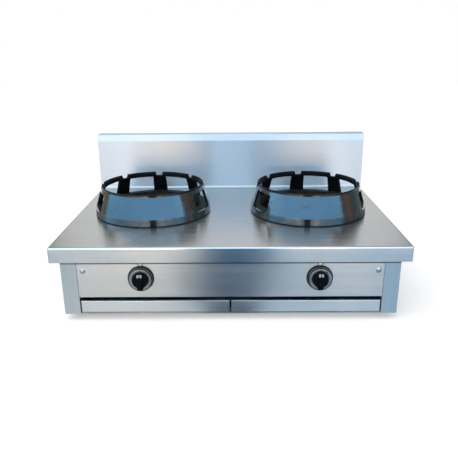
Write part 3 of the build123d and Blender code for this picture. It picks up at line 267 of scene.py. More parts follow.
def ground_card():
    """Ground in front of the range, as its steel faces show it: pale, with a dark blue middle."""
    look = Shading("ground_card")
    x, y, _ = look.parts(look.surface_data("Position"))
    away = look.share(y, -0.40, -0.90)
    ramp_shift = 0.1  # a ramp holds no number below 0, so the middle's place is kept 0.1 up
    centre = look.ramp(away, (0.06, 0.105), (0.30, 0.072), (0.60, 0.078), (0.90, 0.130))
    width = look.ramp(away, (0.06, 0.085), (0.30, 0.175), (0.60, 0.180), (0.90, 0.145))
    off_centre = look.math("DIVIDE", look.minus(x, look.minus(centre, ramp_shift)), width)
    dark = look.math("POWER", look.math("ABSOLUTE", off_centre), 3.6)
    dark = look.math("EXPONENT", look.times(dark, -1.0))
    dark = look.times(dark, look.ramp(away, (0.55, 1.0), (0.85, 0.84)))
    sides = look.ramp(
        look.share(x, -0.8, 0.8),
        (0.05, (0.58, 0.76, 0.88)), (0.20, (0.80, 0.92, 0.99)), (0.40, (0.76, 0.92, 1.00)),
        (0.62, (0.50, 0.75, 0.95)), (0.90, (0.47, 0.75, 1.02)),
    )
    near = look.blend(dark, sides, (0.02, 0.09, 0.18))
    far = look.ramp(
        look.share(x, -1.2, 1.2),
        (0.10, (1.50, 1.50, 1.45)), (0.40, (1.30, 1.35, 1.35)), (0.46, (0.14, 0.42, 0.85)),
        (0.57, (0.14, 0.42, 0.85)), (0.64, (1.10, 1.25, 1.35)), (0.90, (1.40, 1.60, 1.75)),
    )
    colour = look.blend(look.share(y, -0.95, -1.35), near, far)
    corners = level_rectangle((-1.6, 1.6), (-3.2, -0.36), 0.001)
    only_in_reflections(sheet_mesh("ground_card", corners, glowing(look, colour)))


def sky_colour(look):
    """Sky and haze ahead of the range, and darker surroundings beside and behind it."""
    x, y, z = look.parts(look.surface_data("Position"))
    reach = look.math("SQRT", look.math("ADD", look.times(x, x), look.times(y, y)))
    rise = look.math("ARCTAN2", look.minus(z, 0.28), reach)
    lift = look.share(rise, -math.pi / 18, math.pi / 2)
    colour = look.ramp(
        lift,
        (0.12, (0.20, 0.72, 1.30)), (0.25, (0.73, 1.80, 3.05)), (0.33, (0.80, 1.90, 3.35)),
        (0.40, (2.55, 2.60, 2.60)), (0.50, (2.20, 2.50, 2.80)), (0.62, (1.20, 2.40, 3.60)),
        (0.84, (2.10, 2.60, 2.90)),
    )
    low = look.ramp(lift, (0.15, 1.0), (0.21, 0.0))
    across = look.ramp(
        look.share(x, -2.0, 2.0),
        (0.20, 0.40), (0.30, 1.0), (0.37, 1.0), (0.44, 0.05), (0.57, 0.0), (0.63, 0.45),
        (0.70, 0.95), (0.80, 0.30),
    )
    ahead = look.spread(y, 1.0, 0.0, -2.5, -1.6)
    haze = look.times(look.times(low, across), ahead)
    colour = look.blend(haze, colour, (8.4, 6.2, 4.1))
    turn = look.share(look.math("ARCTAN2", x, look.times(y, -1.0)), -math.pi, math.pi)
    edge = look.ramp(turn, (0.23, 1.0), (0.36, 0.0), (0.62, 0.0), (0.68, 0.45))
    warm = look.blend(1.0, colour, (1.9, 1.55, 1.30), "MULTIPLY")
    colour = look.blend(edge, colour, warm)
    beside = look.ramp(turn, (0.225, 1.0), (0.24, 0.0), (0.675, 0.0), (0.688, 1.0))
    brown = look.ramp(
        turn,
        (0.30, (0.34, 0.35, 0.24)), (0.68, (0.40, 0.38, 0.46)), (0.705, (0.34, 0.28, 0.33)),
        (0.715, (0.58, 0.37, 0.27)), (0.738, (0.38, 0.28, 0.24)),
        (0.755, (0.16, 0.22, 0.25)), (0.86, (0.22, 0.28, 0.30)),
    )
    return look.blend(beside, colour, brown)


def sky_card():
    """Dome round the front and sides, as the black rings and the splashback show it."""
    radius, foot = 3.0, 0.002
    top, sweep = 84.0, 148.0  # degrees up, and to each side of straight ahead
    columns, rows = 30, 15
    corners, faces = [], []
    for row in range(rows + 1):
        up = math.radians(top) * row / rows
        out = radius * math.cos(up)
        for column in range(columns + 1):
            spin = math.radians(-sweep + 2 * sweep * column / columns)
            height = foot + radius * math.sin(up)
            corners.append((out * math.sin(spin), -out * math.cos(spin), height))
    for row in range(rows):
        for column in range(columns):
            first = row * (columns + 1) + column
            faces.append((first, first + 1, first + columns + 2, first + columns + 1))
    look = Shading("sky_card")
    material = glowing(look, sky_colour(look))
    only_in_reflections(sheet_mesh("sky_card", corners, material, faces))


def figure_card():
    """Dark figure with the camera, which darkens the middle of every face that looks forward."""
    look = Shading("figure_card")
    z = look.parts(look.surface_data("Position"))[2]
    colour = look.ramp(
        look.share(z, 0.0, 0.8), (0.1, (0.01, 0.02, 0.03)), (0.9, (0.02, 0.04, 0.06))
    )
    left, right, y, top = -0.30, 0.22, -1.78, 0.60
    corners = [(left, y, 0.0), (right, y, 0.0), (right, y, top), (left, y, top)]
    only_in_reflections(sheet_mesh("figure_card", corners, glowing(look, colour)))


def soft_sun(name, source, spread, strength):
    """Even light from one side, as from a large distant softbox."""
    light = bpy.data.lights.new(name, "SUN")
    light.angle = spread
    light.energy = strength
    lamp = add_object(name, light)
    lamp.rotation_euler = Vector(source).to_track_quat("Z", "Y").to_euler()
    lamp.visible_glossy = False


# Materials


def brushed(name, base=0.50, roughness=0.32, along="X", grain=1.0, stretch=0.72, darker_ends=0, apron_shadow=0):
    """Stainless sheet, brushed along one axis.

    The second last setting darkens the deck towards its ends and a little below its top face; the
    last is a painted shadow: a darker strip just under the apron.
    """
    look = Shading(name)
    fine, coarse, long_way = 1400.0, 160.0, 4.0
    fine_scale = [long_way * 3 if axis == along else fine for axis in "XYZ"]
    coarse_scale = [long_way if axis == along else coarse for axis in "XYZ"]
    lines = look.noise(1.0, 2.0, vector=look.stretched(fine_scale))
    streaks = look.noise(1.0, 3.0, vector=look.stretched(coarse_scale))
    clouds = look.noise(7.0, 4.0, 0.6)
    wave = look.noise(2.2, 1.0)
    tone = look.times_plus(streaks, 0.10 * grain, base - 0.05 * grain)
    tone = look.vary(clouds, 0.05, tone)
    tone = look.vary(lines, 0.06 * grain, tone)
    # Darker towards the deck's left and right ends, and a little everywhere below its top face.
    if darker_ends:
        x, _, z = look.parts(look.place())
        out = look.share(look.math("ABSOLUTE", x), 0.0, HALF_WIDTH)
        out = look.ramp(out, (0.10, 0.0), (0.75, 1.0))
        on_top = look.math("GREATER_THAN", z, DECK - 0.001)
        tone = look.times_plus(look.times(out, on_top), -darker_ends, tone)
        tone = look.times_plus(look.minus(1.0, on_top), -0.02, tone)
    # Painted shadow of the apron: a darker strip on the panel and posts just under its lower edge.
    if apron_shadow:
        z = look.parts(look.place())[2]
        apron_shadow_line = look.ramp(look.share(z, 0.165, 0.180), (0.44, 1.0), (0.56, 1.0 - apron_shadow))
        tone = look.times(tone, apron_shadow_line)
    colour = look.add("ShaderNodeCombineXYZ", X=tone, Y=tone, Z=tone).outputs[0]
    rough = look.vary(clouds, 0.10, look.vary(streaks, 0.12, roughness))
    slants = zip("XYZ", (0.02, 0.015, 0.018))
    direction = tuple(1.0 if axis == along else slant for axis, slant in slants)
    normal = look.surface_data("Normal")
    cross = {"operation": "CROSS_PRODUCT"}
    across = look.add("ShaderNodeVectorMath", cross, in0=normal, in1=direction)
    return look.surface(
        Base_Color=colour,
        Metallic=1.0,
        Roughness=rough,
        Anisotropic=stretch,
        Tangent=across.outputs[0],
        Normal=look.bump((wave, 0.004), (lines, 0.00001 * grain)),
    )


def mill_sheet(name, base=0.42, roughness=0.42):
    """Plain inner sheet with a faint mottled finish."""
    look = Shading(name)
    cells = look.add("ShaderNodeTexVoronoi", Vector=look.place(), Scale=90.0).outputs["Color"]
    clouds = look.noise(9.0, 4.0)
    pale = look.blend(look.ramp(clouds, (0.3, 0.0), (0.75, 1.0)), base * 0.9, base * 1.05)
    return look.surface(
        Base_Color=look.blend(0.12, pale, cells, "SOFT_LIGHT"),
        Metallic=1.0,
        Roughness=look.spread(clouds, roughness - 0.06, roughness + 0.08),
        Normal=look.bump((clouds, 0.0006)),
    )


def ring_enamel():
    """Black enamel over a cast surface: glossy on the outer wall, sooted inside and on the rim.

    Heights run from 0 at the deck to 1 at 0.1 m above it.
    """
    look = Shading("ring_enamel")
    cast = look.noise(55.0, 3.0, 0.55)
    swell = look.noise(14.0, 2.0)
    pits = look.noise(420.0, 2.0)
    dust = look.noise(26.0, 5.0, 0.65)
    x, y, z = look.parts(look.place())
    normal = look.parts(look.surface_data("Normal"))
    side = look.math("SIGN", x)
    from_axis = look.minus(x, look.times(side, RING_X))
    height = look.share(z, DECK, DECK + 0.1)

    # The outer faces shine, and so does the ledge on the base, outside the groove.
    outward = look.times_plus(normal[0], from_axis, look.times(normal[1], y))
    squared = look.times_plus(y, y, look.times(from_axis, from_axis))
    outside = look.math("GREATER_THAN", look.math("SQRT", squared), GROOVE_RADIUS)
    ledge = look.times(look.ramp(height, (0.27, 1.0), (0.30, 0.0)), outside)
    facing = look.times_plus(look.times(ledge, normal[2]), 0.15, outward)
    outer_face = look.share(facing, 0.06, 0.11)
    # The shine starts a few millimetres above the deck, and the grey band a little higher: a
    # painted contact shadow along the ring's foot.
    band = look.ramp(
        height, (0.02, 0.0), (0.05, 0.75), (0.20, 0.75), (0.225, 1.0), (0.875, 1.0), (0.90, 0.14)
    )

    # The base band is greyer, with a painted dark reflection at its front, a little towards the
    # middle, where its shine is taken away as well.
    base = look.ramp(height, (0.03, 0.0), (0.06, 1.0), (0.23, 1.0), (0.25, 0.0))
    base = look.times(base, look.ramp(cast, (0.35, 0.3), (0.6, 1.0)))
    dark_reflection_offset, dark_reflection_reach = 0.0235, 0.02
    inward = look.times(look.times(from_axis, side), -1.0)
    aside = look.math("ABSOLUTE", look.minus(inward, dark_reflection_offset))
    mark = look.ramp(look.share(aside, 0.0, dark_reflection_reach), (0.38, 1.0), (0.50, 0.0))
    mark = look.times(mark, look.math("LESS_THAN", y, 0.0))
    mark = look.times(mark, look.ramp(height, (0.225, 0.92), (0.245, 0.0)))

    colour = look.ramp(
        dust,
        (0.35, (0.004, 0.005, 0.006)), (0.62, (0.009, 0.010, 0.011)),
        (0.8, (0.02, 0.02, 0.02)),
    )
    colour = look.blend(base, colour, (0.030, 0.040, 0.042))
    # Colour of the painted dark reflection on the front of the base band.
    colour = look.blend(mark, colour, (0.003, 0.004, 0.005))
    shine = look.times(look.times(band, outer_face), look.minus(1.0, mark))
    dull = look.spread(dust, 0.42, 0.55, 0.3, 0.8)
    return look.surface(
        Base_Color=colour,
        Roughness=look.times_plus(shine, -0.35, dull),
        IOR=1.5,
        Specular_IOR_Level=look.times_plus(shine, 0.46, 0.04),
        Coat_Weight=shine,
        Coat_Roughness=0.06,
        Coat_IOR=1.72,
        Normal=look.bump((swell, 0.0035), (cast, 0.0012), (pits, 0.00004)),
    )


def dark_iron(name, base=0.03, roughness=0.55):
    """Matt cast iron with a little rust and soot."""
    look = Shading(name)
    grit = look.noise(300.0, 4.0, 0.7)
    stain = look.noise(18.0, 4.0, 0.6)
    colour = look.ramp(
        stain,
        (0.30, base * 0.6), (0.58, (base, base * 0.95, base * 0.9)),
        (0.80, (base * 2.6, base * 1.6, base * 1.0)),
    )
    return look.surface(
        Base_Color=colour, Metallic=0.35,
        Roughness=look.spread(grit, roughness - 0.1, roughness + 0.2),
        Normal=look.bump((grit, 0.0004), (stain, 0.002)),
    )


def bowl_steel():
    """Deep steel bowl, browned by heat."""
    look = Shading("bowl_steel")
    stain = look.noise(12.0, 5.0, 0.6)
    rings = look.noise(1.0, 2.0, vector=look.stretched((20, 20, 600)))
    colour = look.ramp(
        stain,
        (0.30, (0.003, 0.003, 0.003)), (0.50, (0.007, 0.006, 0.005)),
        (0.72, (0.022, 0.018, 0.015)),
    )
    return look.surface(
        Base_Color=colour, Metallic=0.85,
        Roughness=look.spread(stain, 0.34, 0.6),
        Normal=look.bump((rings, 0.0002), (stain, 0.002)),
    )


def turned_metal(name, colour, roughness=0.3, dull=0.35):
    """Machined or drawn metal with a slightly dulled skin."""
    look = Shading(name)
    fine = look.noise(600.0, 2.0)
    stain = look.noise(35.0, 4.0, 0.6)
    low = tuple(part * (1.0 - dull) for part in colour)
    return look.surface(
        Base_Color=look.blend(look.ramp(stain, (0.3, 0.0), (0.7, 1.0)), low, colour),
        Metallic=1.0,
        Roughness=look.spread(stain, roughness - 0.08, roughness + 0.12),
        Normal=look.bump((fine, 0.00006), (stain, 0.0004)),
    )


def moulded(name, colour, roughness=0.38, grain=0.00005, gloss=0.5):
    """Moulded plastic or rubber, paler where dust lies."""
    look = Shading(name)
    skin = look.noise(900.0, 2.0)
    dust = look.noise(60.0, 5.0, 0.65)
    dusty = tuple(part * 1.9 + 0.002 for part in colour)
    return look.surface(
        Base_Color=look.blend(look.ramp(dust, (0.45, 0.0), (0.85, 1.0)), colour, dusty),
        Roughness=look.spread(dust, roughness - 0.06, roughness + 0.14),
        IOR=1.5,
        Specular_IOR_Level=gloss,
        Normal=look.bump((skin, grain)),
    )


def make_materials():
    return {
        "deck": brushed("deck_steel", 0.49, 0.23, grain=0.3, stretch=0.80, darker_ends=0.03),
        "splash": brushed("splash_steel", 0.46, 0.37, grain=0.4, stretch=0.94),
        # The panel and the posts carry the apron's painted shadow.
        "panel": brushed("panel_steel", 0.42, 0.32, grain=0.45, stretch=0.80, apron_shadow=0.80),
        "post": brushed("post_steel", 0.50, along="Z", grain=0.6, apron_shadow=0.75),
        "tray": brushed("tray_steel", 0.485, grain=0.45),
        "side": brushed("side_steel", along="Y", grain=0.6),
        "mill": mill_sheet("mill_steel"),
        "floor": mill_sheet("floor_steel", 0.36, 0.46),
        "runner": mill_sheet("runner_steel", 0.45, 0.36),
        "screw": turned_metal("screw_steel", (0.46, 0.46, 0.45), 0.20, 0.5),
        "bowl": bowl_steel(),
        "ring": ring_enamel(),
        "iron": dark_iron("burner_iron"),
        "pipe": dark_iron("pipe_steel", 0.05, 0.5),
        "brass": turned_metal("tap_brass", (0.72, 0.50, 0.20), 0.30),
        "tube": turned_metal("gas_tube_metal", (0.60, 0.60, 0.58), 0.34),
        "probe": turned_metal("probe_steel", (0.50, 0.47, 0.44), 0.34),
        "spring": turned_metal("spring_steel", (0.55, 0.55, 0.56), 0.28),
        "spindle": turned_metal("spindle_steel", (0.60, 0.60, 0.60), 0.26),
        "knob": moulded("knob_black", (0.002, 0.002, 0.003), 0.40, gloss=0.05),
        "bezel": moulded("bezel_black", (0.004, 0.006, 0.008), 0.30, gloss=0.30),
        # Painted sheen: grey-blue metal that stands for the sky reflected in the black knob skirts.
        "band": turned_metal("knob_skirt_sheen", (0.16, 0.19, 0.21), 0.30, 0.3),
        # Partly the colour of a pointer mark, partly a painted highlight.
        "pointer": moulded("pointer_pale", (0.26, 0.33, 0.38), 0.40),
        "dial": turned_metal("dial_metal", (0.23, 0.25, 0.255), 0.36, 0.3),
        "mark": moulded("mark_white", (0.62, 0.63, 0.62), 0.45),
        "rubber": moulded("foot_rubber", (0.012, 0.012, 0.012), 0.62, 0.0002),
    }


# The CAD nodes that each material goes on, by the ends of their names.
NODES_WITH = {
    "deck": ["worktop"],
    "splash": ["splashback"],
    "panel": ["control_panel"],
    "screw": ["control_panel_screws"],
    "mill": ["back_panel"],
    "floor": ["bottom_panel"],
    "side": ["side_panel"],
    "post": ["post"],
    "rubber": ["foot"],
    "tray": ["drip_tray"],
    "runner": ["burner_support_rail", "tray_runner", "air_shutter", "manifold_bracket"],
    "ring": ["wok_ring"],
    "bowl": ["burner_bowl"],
    "iron": ["burner_body", "burner_head"],
    "pipe": ["gas_manifold"],
    "brass": ["gas_inlet", "injector", "tap_body", "tap_plug"],
    "tube": ["pilot_tube", "burner_tube"],
    "probe": ["pilot_burner", "thermocouple"],
    "spring": ["tap_spring"],
    "spindle": ["tap_spindle"],
    "knob": ["knob"],
    "dial": ["dial_plate"],
    "bezel": ["bezel"],
}


def dress_nodes(looks):
    kinds = {end: look for look, ends in NODES_WITH.items() for end in ends}
    for name, item in NODES.items():
        kind = next(end for end in kinds if ("_" + name).endswith("_" + end))
        item.data.materials.clear()
        item.data.materials.append(looks[kinds[kind]])


# Mesh helpers


def piece(name, body, bm, material, replaces=(), bevel=0.0, degrees=32.0):
    """Make an object from a bmesh, ride it on its body and hide the CAD nodes that it stands for.

    Edges sharper than the degrees stay sharp, and all others are smooth.
    """
    bmesh.ops.remove_doubles(bm, verts=bm.verts, dist=WELD)
    bmesh.ops.recalc_face_normals(bm, faces=bm.faces)
    mesh = bpy.data.meshes.new(name)
    bm.to_mesh(mesh)
    bm.free()
    mesh.polygons.foreach_set("use_smooth", [True] * len(mesh.polygons))
    mesh.set_sharp_from_angle(angle=math.radians(degrees))
    mesh.materials.append(material)
    item = add_object(name, mesh)
    if bevel:
        edge = item.modifiers.new("edges", "BEVEL")
        edge.width = bevel
        edge.segments = 3
        edge.limit_method = "ANGLE"
        edge.angle_limit = math.radians(35.0)
        edge.miter_outer = "MITER_ARC"
    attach(item, body)
    if replaces:
        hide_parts(*replaces)
    return item


def grid_faces(bm, rows, close_rows=False, around=False, skip=None):
    """Quads between rows of the same number of vertices, which run around or end."""
    count = len(rows)
    width = len(rows[0])
    for row in range(count if close_rows else count - 1):
        first, second = rows[row], rows[(row + 1) % count]
        for column in range(width if around else width - 1):
            if skip and skip(row, column):
                continue
            after = (column + 1) % width
            corners = first[column], first[after], second[after], second[column]
            kept = list(dict.fromkeys(corners))
            if len(kept) > 2:
                try:
                    bm.faces.new(kept)
                except ValueError:
                    pass


def verts_at(bm, rows):
    return [[bm.verts.new(point) for point in row] for row in rows]


def closed_stack(bm, rows):
    """Walls between outlines with the same number of points, and a face over each end."""
    rows = verts_at(bm, rows)
    grid_faces(bm, rows, around=True)
    bm.faces.new(rows[0])
    bm.faces.new(rows[-1])


def polar(radius, turn):
    return radius * math.cos(turn), radius * math.sin(turn)


def left_of(way):
    return Vector((-way.y, way.x))


def corner_arc(point, before, after, bend, steps):
    """Length that a bend takes from each side of a corner, and its (point, normal) pairs."""
    turn = before.angle_signed(after)
    reach = bend * math.tan(abs(turn) / 2)
    side = -1.0 if turn > 0 else 1.0
    left = left_of(before)
    centre = point - before * reach + left * (side * bend)
    normals = [Matrix.Rotation(-turn * step / steps, 2) @ left for step in range(steps + 1)]
    return reach, [(centre - normal * (side * bend), normal) for normal in normals]


def bent_path(points, radius, steps=BEND_STEPS):
    """Points and left-hand normals along a path whose corners are rounded."""
    margin = 0.0008  # extra point beside each bend, which keeps the flat parts flat
    points = [Vector(point) for point in points]
    ways = [(end - start).normalized() for start, end in zip(points, points[1:])]
    radii = radius if isinstance(radius, (list, tuple)) else [radius] * (len(points) - 2)
    made = [(points[0], left_of(ways[0]))]
    for point, before, after, bend in zip(points[1:], ways, ways[1:], radii):
        reach, arc = corner_arc(point, before, after, bend, steps)
        made.append((point - before * (reach + margin), arc[0][1]))
        made += arc
        made.append((point + after * (reach + margin), left_of(after)))
    return made + [(points[-1], left_of(ways[-1]))]


def rounded_profile(points, radii, steps=4):
    """Closed outline with its corners rounded by one radius each."""
    made = []
    for index, (point, bend) in enumerate(zip(points, radii)):
        here = Vector(point)
        before = (here - Vector(points[index - 1])).normalized()
        after = (Vector(points[(index + 1) % len(points)]) - here).normalized()
        if bend > 0:
            arc = corner_arc(here, before, after, bend, steps)[1]
            made += [spot for spot, normal in arc]
        else:
            made.append(here)
    return made


def ribbon(points, radius, thickness, start, end, spot):
    """Folded sheet: a bent path swept from start to end. spot(u, v, s) gives the place."""
    bm = bmesh.new()
    path = bent_path(points, radius)
    outer, inner = [], []
    for along in (start, end):
        outer.append([bm.verts.new(spot(p.x, p.y, along)) for p, n in path])
        inner.append([bm.verts.new(spot(*(p + n * thickness), along)) for p, n in path])
    grid_faces(bm, outer)
    grid_faces(bm, inner)
    for index in (0, -1):
        grid_faces(bm, [outer[index], inner[index]])
        grid_faces(bm, [[row[index] for row in outer], [row[index] for row in inner]])
    return bm


def inset_outline(span_x, span_y, corner, inset):
    """Rounded rectangle moved in by inset, corner by corner."""
    made = []
    radius = max(corner - inset, 0.0)
    middle = max(corner, inset)
    for sx, sy, first in ((1, 1, 180.0), (-1, 1, 270.0), (-1, -1, 0.0), (1, -1, 90.0)):
        x, y = span_x[sx < 0], span_y[sy < 0]
        for step in range(BEND_STEPS + 1):
            angle = math.radians(first + 90.0 * step / BEND_STEPS)
            across, up = polar(radius, angle)
            made.append((x + sx * middle + across, y + sy * middle + up))
    return made


def circle_loop(centre, radius, count=72):
    spots = (polar(radius, 2 * math.pi * step / count) for step in range(count))
    return [(centre[0] + x, centre[1] + y) for x, y in spots]


def unlike(points):
    """Points of a loop without the ones that repeat the one before."""
    pairs = zip(points, points[-1:] + points[:-1])
    return [point for point, before in pairs if math.dist(point, before) > 1e-7]


def edge_loop(bm, points):
    verts = [bm.verts.new(point) for point in points]
    return verts, [bm.edges.new((verts[i - 1], verts[i])) for i in range(len(verts))]


def dished(span_x, span_y, corner, path, radius, thickness, spot, holes=()):
    """Sheet with a flat face whose rim follows a path of (inset, depth) points on all sides."""
    bm = bmesh.new()
    rims, cuts = [], []
    for offset in (0.0, thickness):
        rows = []
        for p, n in bent_path(path, radius):
            at = p + n * offset
            outline = inset_outline(span_x, span_y, corner, at.x)
            level = at.y if not rows else level
            rows.append([spot(x, y, at.y) for x, y in outline])
        grid_faces(bm, verts_at(bm, rows), around=True)
        rims.append(rows[-1])
        verts, edges = edge_loop(bm, unlike(rows[0]))
        cuts.append([])
        for centre, size in holes:
            loop = [spot(x, y, level) for x, y in circle_loop(centre, size)]
            edges += edge_loop(bm, loop)[1]
            cuts[-1].append(loop)
        if holes:
            bmesh.ops.triangle_fill(bm, use_beauty=True, edges=edges)
        else:
            bm.faces.new(verts)
    for pair in [tuple(rims)] + list(zip(*cuts)):
        grid_faces(bm, verts_at(bm, pair), around=True)
    return bm


def lathe(profile, spot, count=96):
    """Closed outline of (radius, height) points turned about an axis."""
    bm = bmesh.new()
    rows = []
    for step in range(count):
        turn = 2 * math.pi * step / count
        rows.append([spot(*polar(radius, turn), height) for radius, height in profile])
    grid_faces(bm, verts_at(bm, rows), close_rows=True, around=True)
    return bm


def join(target, other):
    """Add the faces of one bmesh to another."""
    mesh = bpy.data.meshes.new("part")
    other.to_mesh(mesh)
    other.free()
    target.from_mesh(mesh)
    bpy.data.meshes.remove(mesh)
    return target


def cut(bm, *cutters):
    """Take closed cutters out of a closed bmesh."""
    items = []
    for part in (bm, *cutters):
        bmesh.ops.remove_doubles(part, verts=part.verts, dist=WELD)
        bmesh.ops.recalc_face_normals(part, faces=part.faces)
        mesh = bpy.data.meshes.new("cut")
        part.to_mesh(mesh)
        part.free()
        items.append(add_object("cut", mesh))
    for other in items[1:]:
        step = items[0].modifiers.new("cut", "BOOLEAN")
        step.operation = "DIFFERENCE"
        step.solver = "EXACT"
        step.object = other
    bpy.context.view_layer.update()
    evaluated = items[0].evaluated_get(bpy.context.evaluated_depsgraph_get())
    result = bpy.data.meshes.new_from_object(evaluated)
    made = bmesh.new()
    made.from_mesh(result)
    for item in items:
        mesh = item.data
        bpy.data.objects.remove(item)
        bpy.data.meshes.remove(mesh)
    bpy.data.meshes.remove(result)
    return made


def facing_front(x, y, z):
    """Place for a part turned about an axis towards the front, at (x, y, z)."""
    return lambda a, b, h: (x + a, y - h, z + b)


def hole_cutter(x, z, radius, count=32):
    """Cutter for a round hole through the control panel or a post's tab."""
    reach, core = 0.01, 0.0001
    profile = [(core, -reach), (radius, -reach), (radius, reach), (core, reach)]
    return lathe(profile, facing_front(x, PANEL_FACE, z), count)


# Sheet pieces


def make_worktop(looks):
    """Deck with rounded bends and an apron on all sides."""
    sheet, bend, apron, opening_radius = 0.002, 0.005, 0.044, 0.144
    bm = dished(
        (-HALF_WIDTH, HALF_WIDTH), (FRONT, FRONT + DEPTH),
        bend,
        [(0.007, 0.0), (0.0, 0.0), (0.0, apron)],
        bend,
        -sheet,
        lambda x, y, d: (x, y, DECK - d),
        holes=[((side * RING_X, RING_Y), opening_radius) for side in SIDES.values()],
    )
    piece("worktop_sheet", "range", bm, looks["deck"], ["worktop"])


def make_splashback(looks):
    """Folded upstand with a leaning top band, a small bend at its foot and closed ends."""
    sheet, gap = 0.0015, 0.0004
    face, back = FRONT + 0.65, FRONT + DEPTH
    band, top, foot = DECK + 0.182, DECK + 0.204, DECK - 0.0052
    bends = [0.0095, 0.004, 0.0022, 0.003]
    outline = [
        (face - 0.0115, DECK + gap), (face, DECK + gap), (face, band), (face + 0.008, top),
        (back, top), (back, foot),
    ]
    bm = ribbon(outline, bends, sheet, -HALF_WIDTH, HALF_WIDTH, lambda u, v, s: (s, u, v))
    path = bent_path(outline[1:], bends[1:], 4)
    for side in SIDES.values():
        end = bmesh.new()
        rows = []
        for depth in (0.0, sheet):
            x = side * (HALF_WIDTH - depth)
            rows.append([(x, *(p + n * gap)) for p, n in path] + [(x, face, foot)])
        closed_stack(end, rows)
        bm = join(bm, end)
    piece("splashback_sheet", "range", bm, looks["splash"], ["splashback"])


def make_posts(looks):
    """Folded channel posts; the front ones carry the tab that the panel is screwed to."""
    sheet, bend, flange = 0.002, 0.003, 0.025
    inner, outer, low, high = 0.425, 0.471, 0.02, 0.22
    for side_name, side in SIDES.items():
        for end, facing in (("front", -1), ("rear", 1)):
            face = PANEL_FACE if facing < 0 else FRONT + DEPTH - CASE_INSET
            depth = face - facing * flange
            outline = [(inner, depth), (inner, face), (outer, face), (outer, depth)]

            def spot(u, v, s, side=side):
                return (side * u, v, s)

            bm = ribbon(outline, bend, -facing * sheet, low, high, spot)
            if facing < 0:
                tab_y = face + 0.0015
                tab = ribbon([(0.397, tab_y), (0.4268, tab_y)], [], sheet, 0.135, 0.169, spot)
                hole = hole_cutter(side * SCREW_X, SCREW_Z, SCREW_HOLE_RADIUS, 24)
                bm = join(bm, cut(tab, hole))
            name = f"{end}_{side_name}_post"
            piece(name + "_fold", "range", bm, looks["post"], [name])


def make_control_panel(looks):
    """Front plate with bends along its top and bottom, and holes for the spindles and screws."""
    low, high, half, flange = 0.0715, 0.192, 0.4247, 0.016
    sheet, bend, spindle_hole = 0.0015, 0.002, 0.008
    rear = PANEL_FACE + flange
    outline = [(rear, high), (PANEL_FACE, high), (PANEL_FACE, low), (rear, low)]
    bm = ribbon(outline, bend, sheet, -half, half, lambda u, v, s: (s, u, v))
    holes = []
    for side in SIDES.values():
        holes.append(hole_cutter(side * KNOB_X, KNOB_Z, spindle_hole))
        holes.append(hole_cutter(side * SCREW_X, SCREW_Z, SCREW_HOLE_RADIUS))
    bm = cut(bm, *holes)
    piece("control_panel_sheet", "range", bm, looks["panel"], ["control_panel"])


def make_trays(looks):
    """Drip trays: a front folded on all sides, and the pan behind it with its flanges."""
    front, sheet, bend = FRONT + 0.005, 0.0012, 0.0014
    pan_floor, pan_depth, pan_bend, pan_flange = 0.0263, 0.021, 0.006, 0.005
    for side_name, side in SIDES.items():
        bm = dished(
            (0.003, 0.422), (0.025, 0.060),
            0.0016,
            [(0.003, 0.0), (0.0, 0.0), (0.0, 0.010)],
            bend,
            -sheet,
            lambda x, z, d: (side * x, front + d, z),
        )
        pan = dished(
            (0.0105, 0.4145), (front + 0.0062, front + 0.585),
            pan_bend,
            [(pan_bend, 0.0), (0.0, 0.0), (0.0, -pan_depth), (-pan_flange, -pan_depth)],
            [0.004, bend],
            -sheet,
            lambda x, y, d: (side * x, y, pan_floor - d),
        )
        name = f"{side_name}_drip_tray"
        piece(name + "_fold", name, join(bm, pan), looks["tray"], [name])


# Wok rings


def cone(height):
    """Outer radius of a ring's leaning wall at a height above the deck."""
    share = (height - WALL_LOW) / (WALL_TOP - WALL_LOW)
    return WALL_LOW_RADIUS + share * (WALL_TOP_RADIUS - WALL_LOW_RADIUS)


def ring_columns():
    """Angles round a ring from its front, in degrees, and what lies between them.

    The second list has (first, last, kind) with the kinds window, slope and notch.
    """
    post_half, notch_half, slope_half = 7.7, 3.6, 4.35
    first_window, last_window, longest_step = 55.0, 305.0, 2.4
    marks = []
    start = first_window
    for post in (90, 135, 180, 225, 270):
        marks.append((start, post - post_half, "window"))
        marks.append((post - slope_half, post - notch_half, "slope"))
        marks.append((post - notch_half, post + notch_half, "notch"))
        marks.append((post + notch_half, post + slope_half, "slope"))
        start = post + post_half
    marks.append((start, last_window, "window"))
    stops = {0.0, 360.0}
    for first, last, _ in marks:
        stops |= {first, last}
    stops = sorted(stops)
    angles = []
    for first, last in zip(stops, stops[1:]):
        count = max(1, round((last - first) / longest_step))
        angles += [first + (last - first) * step / count for step in range(count)]
    return angles, marks


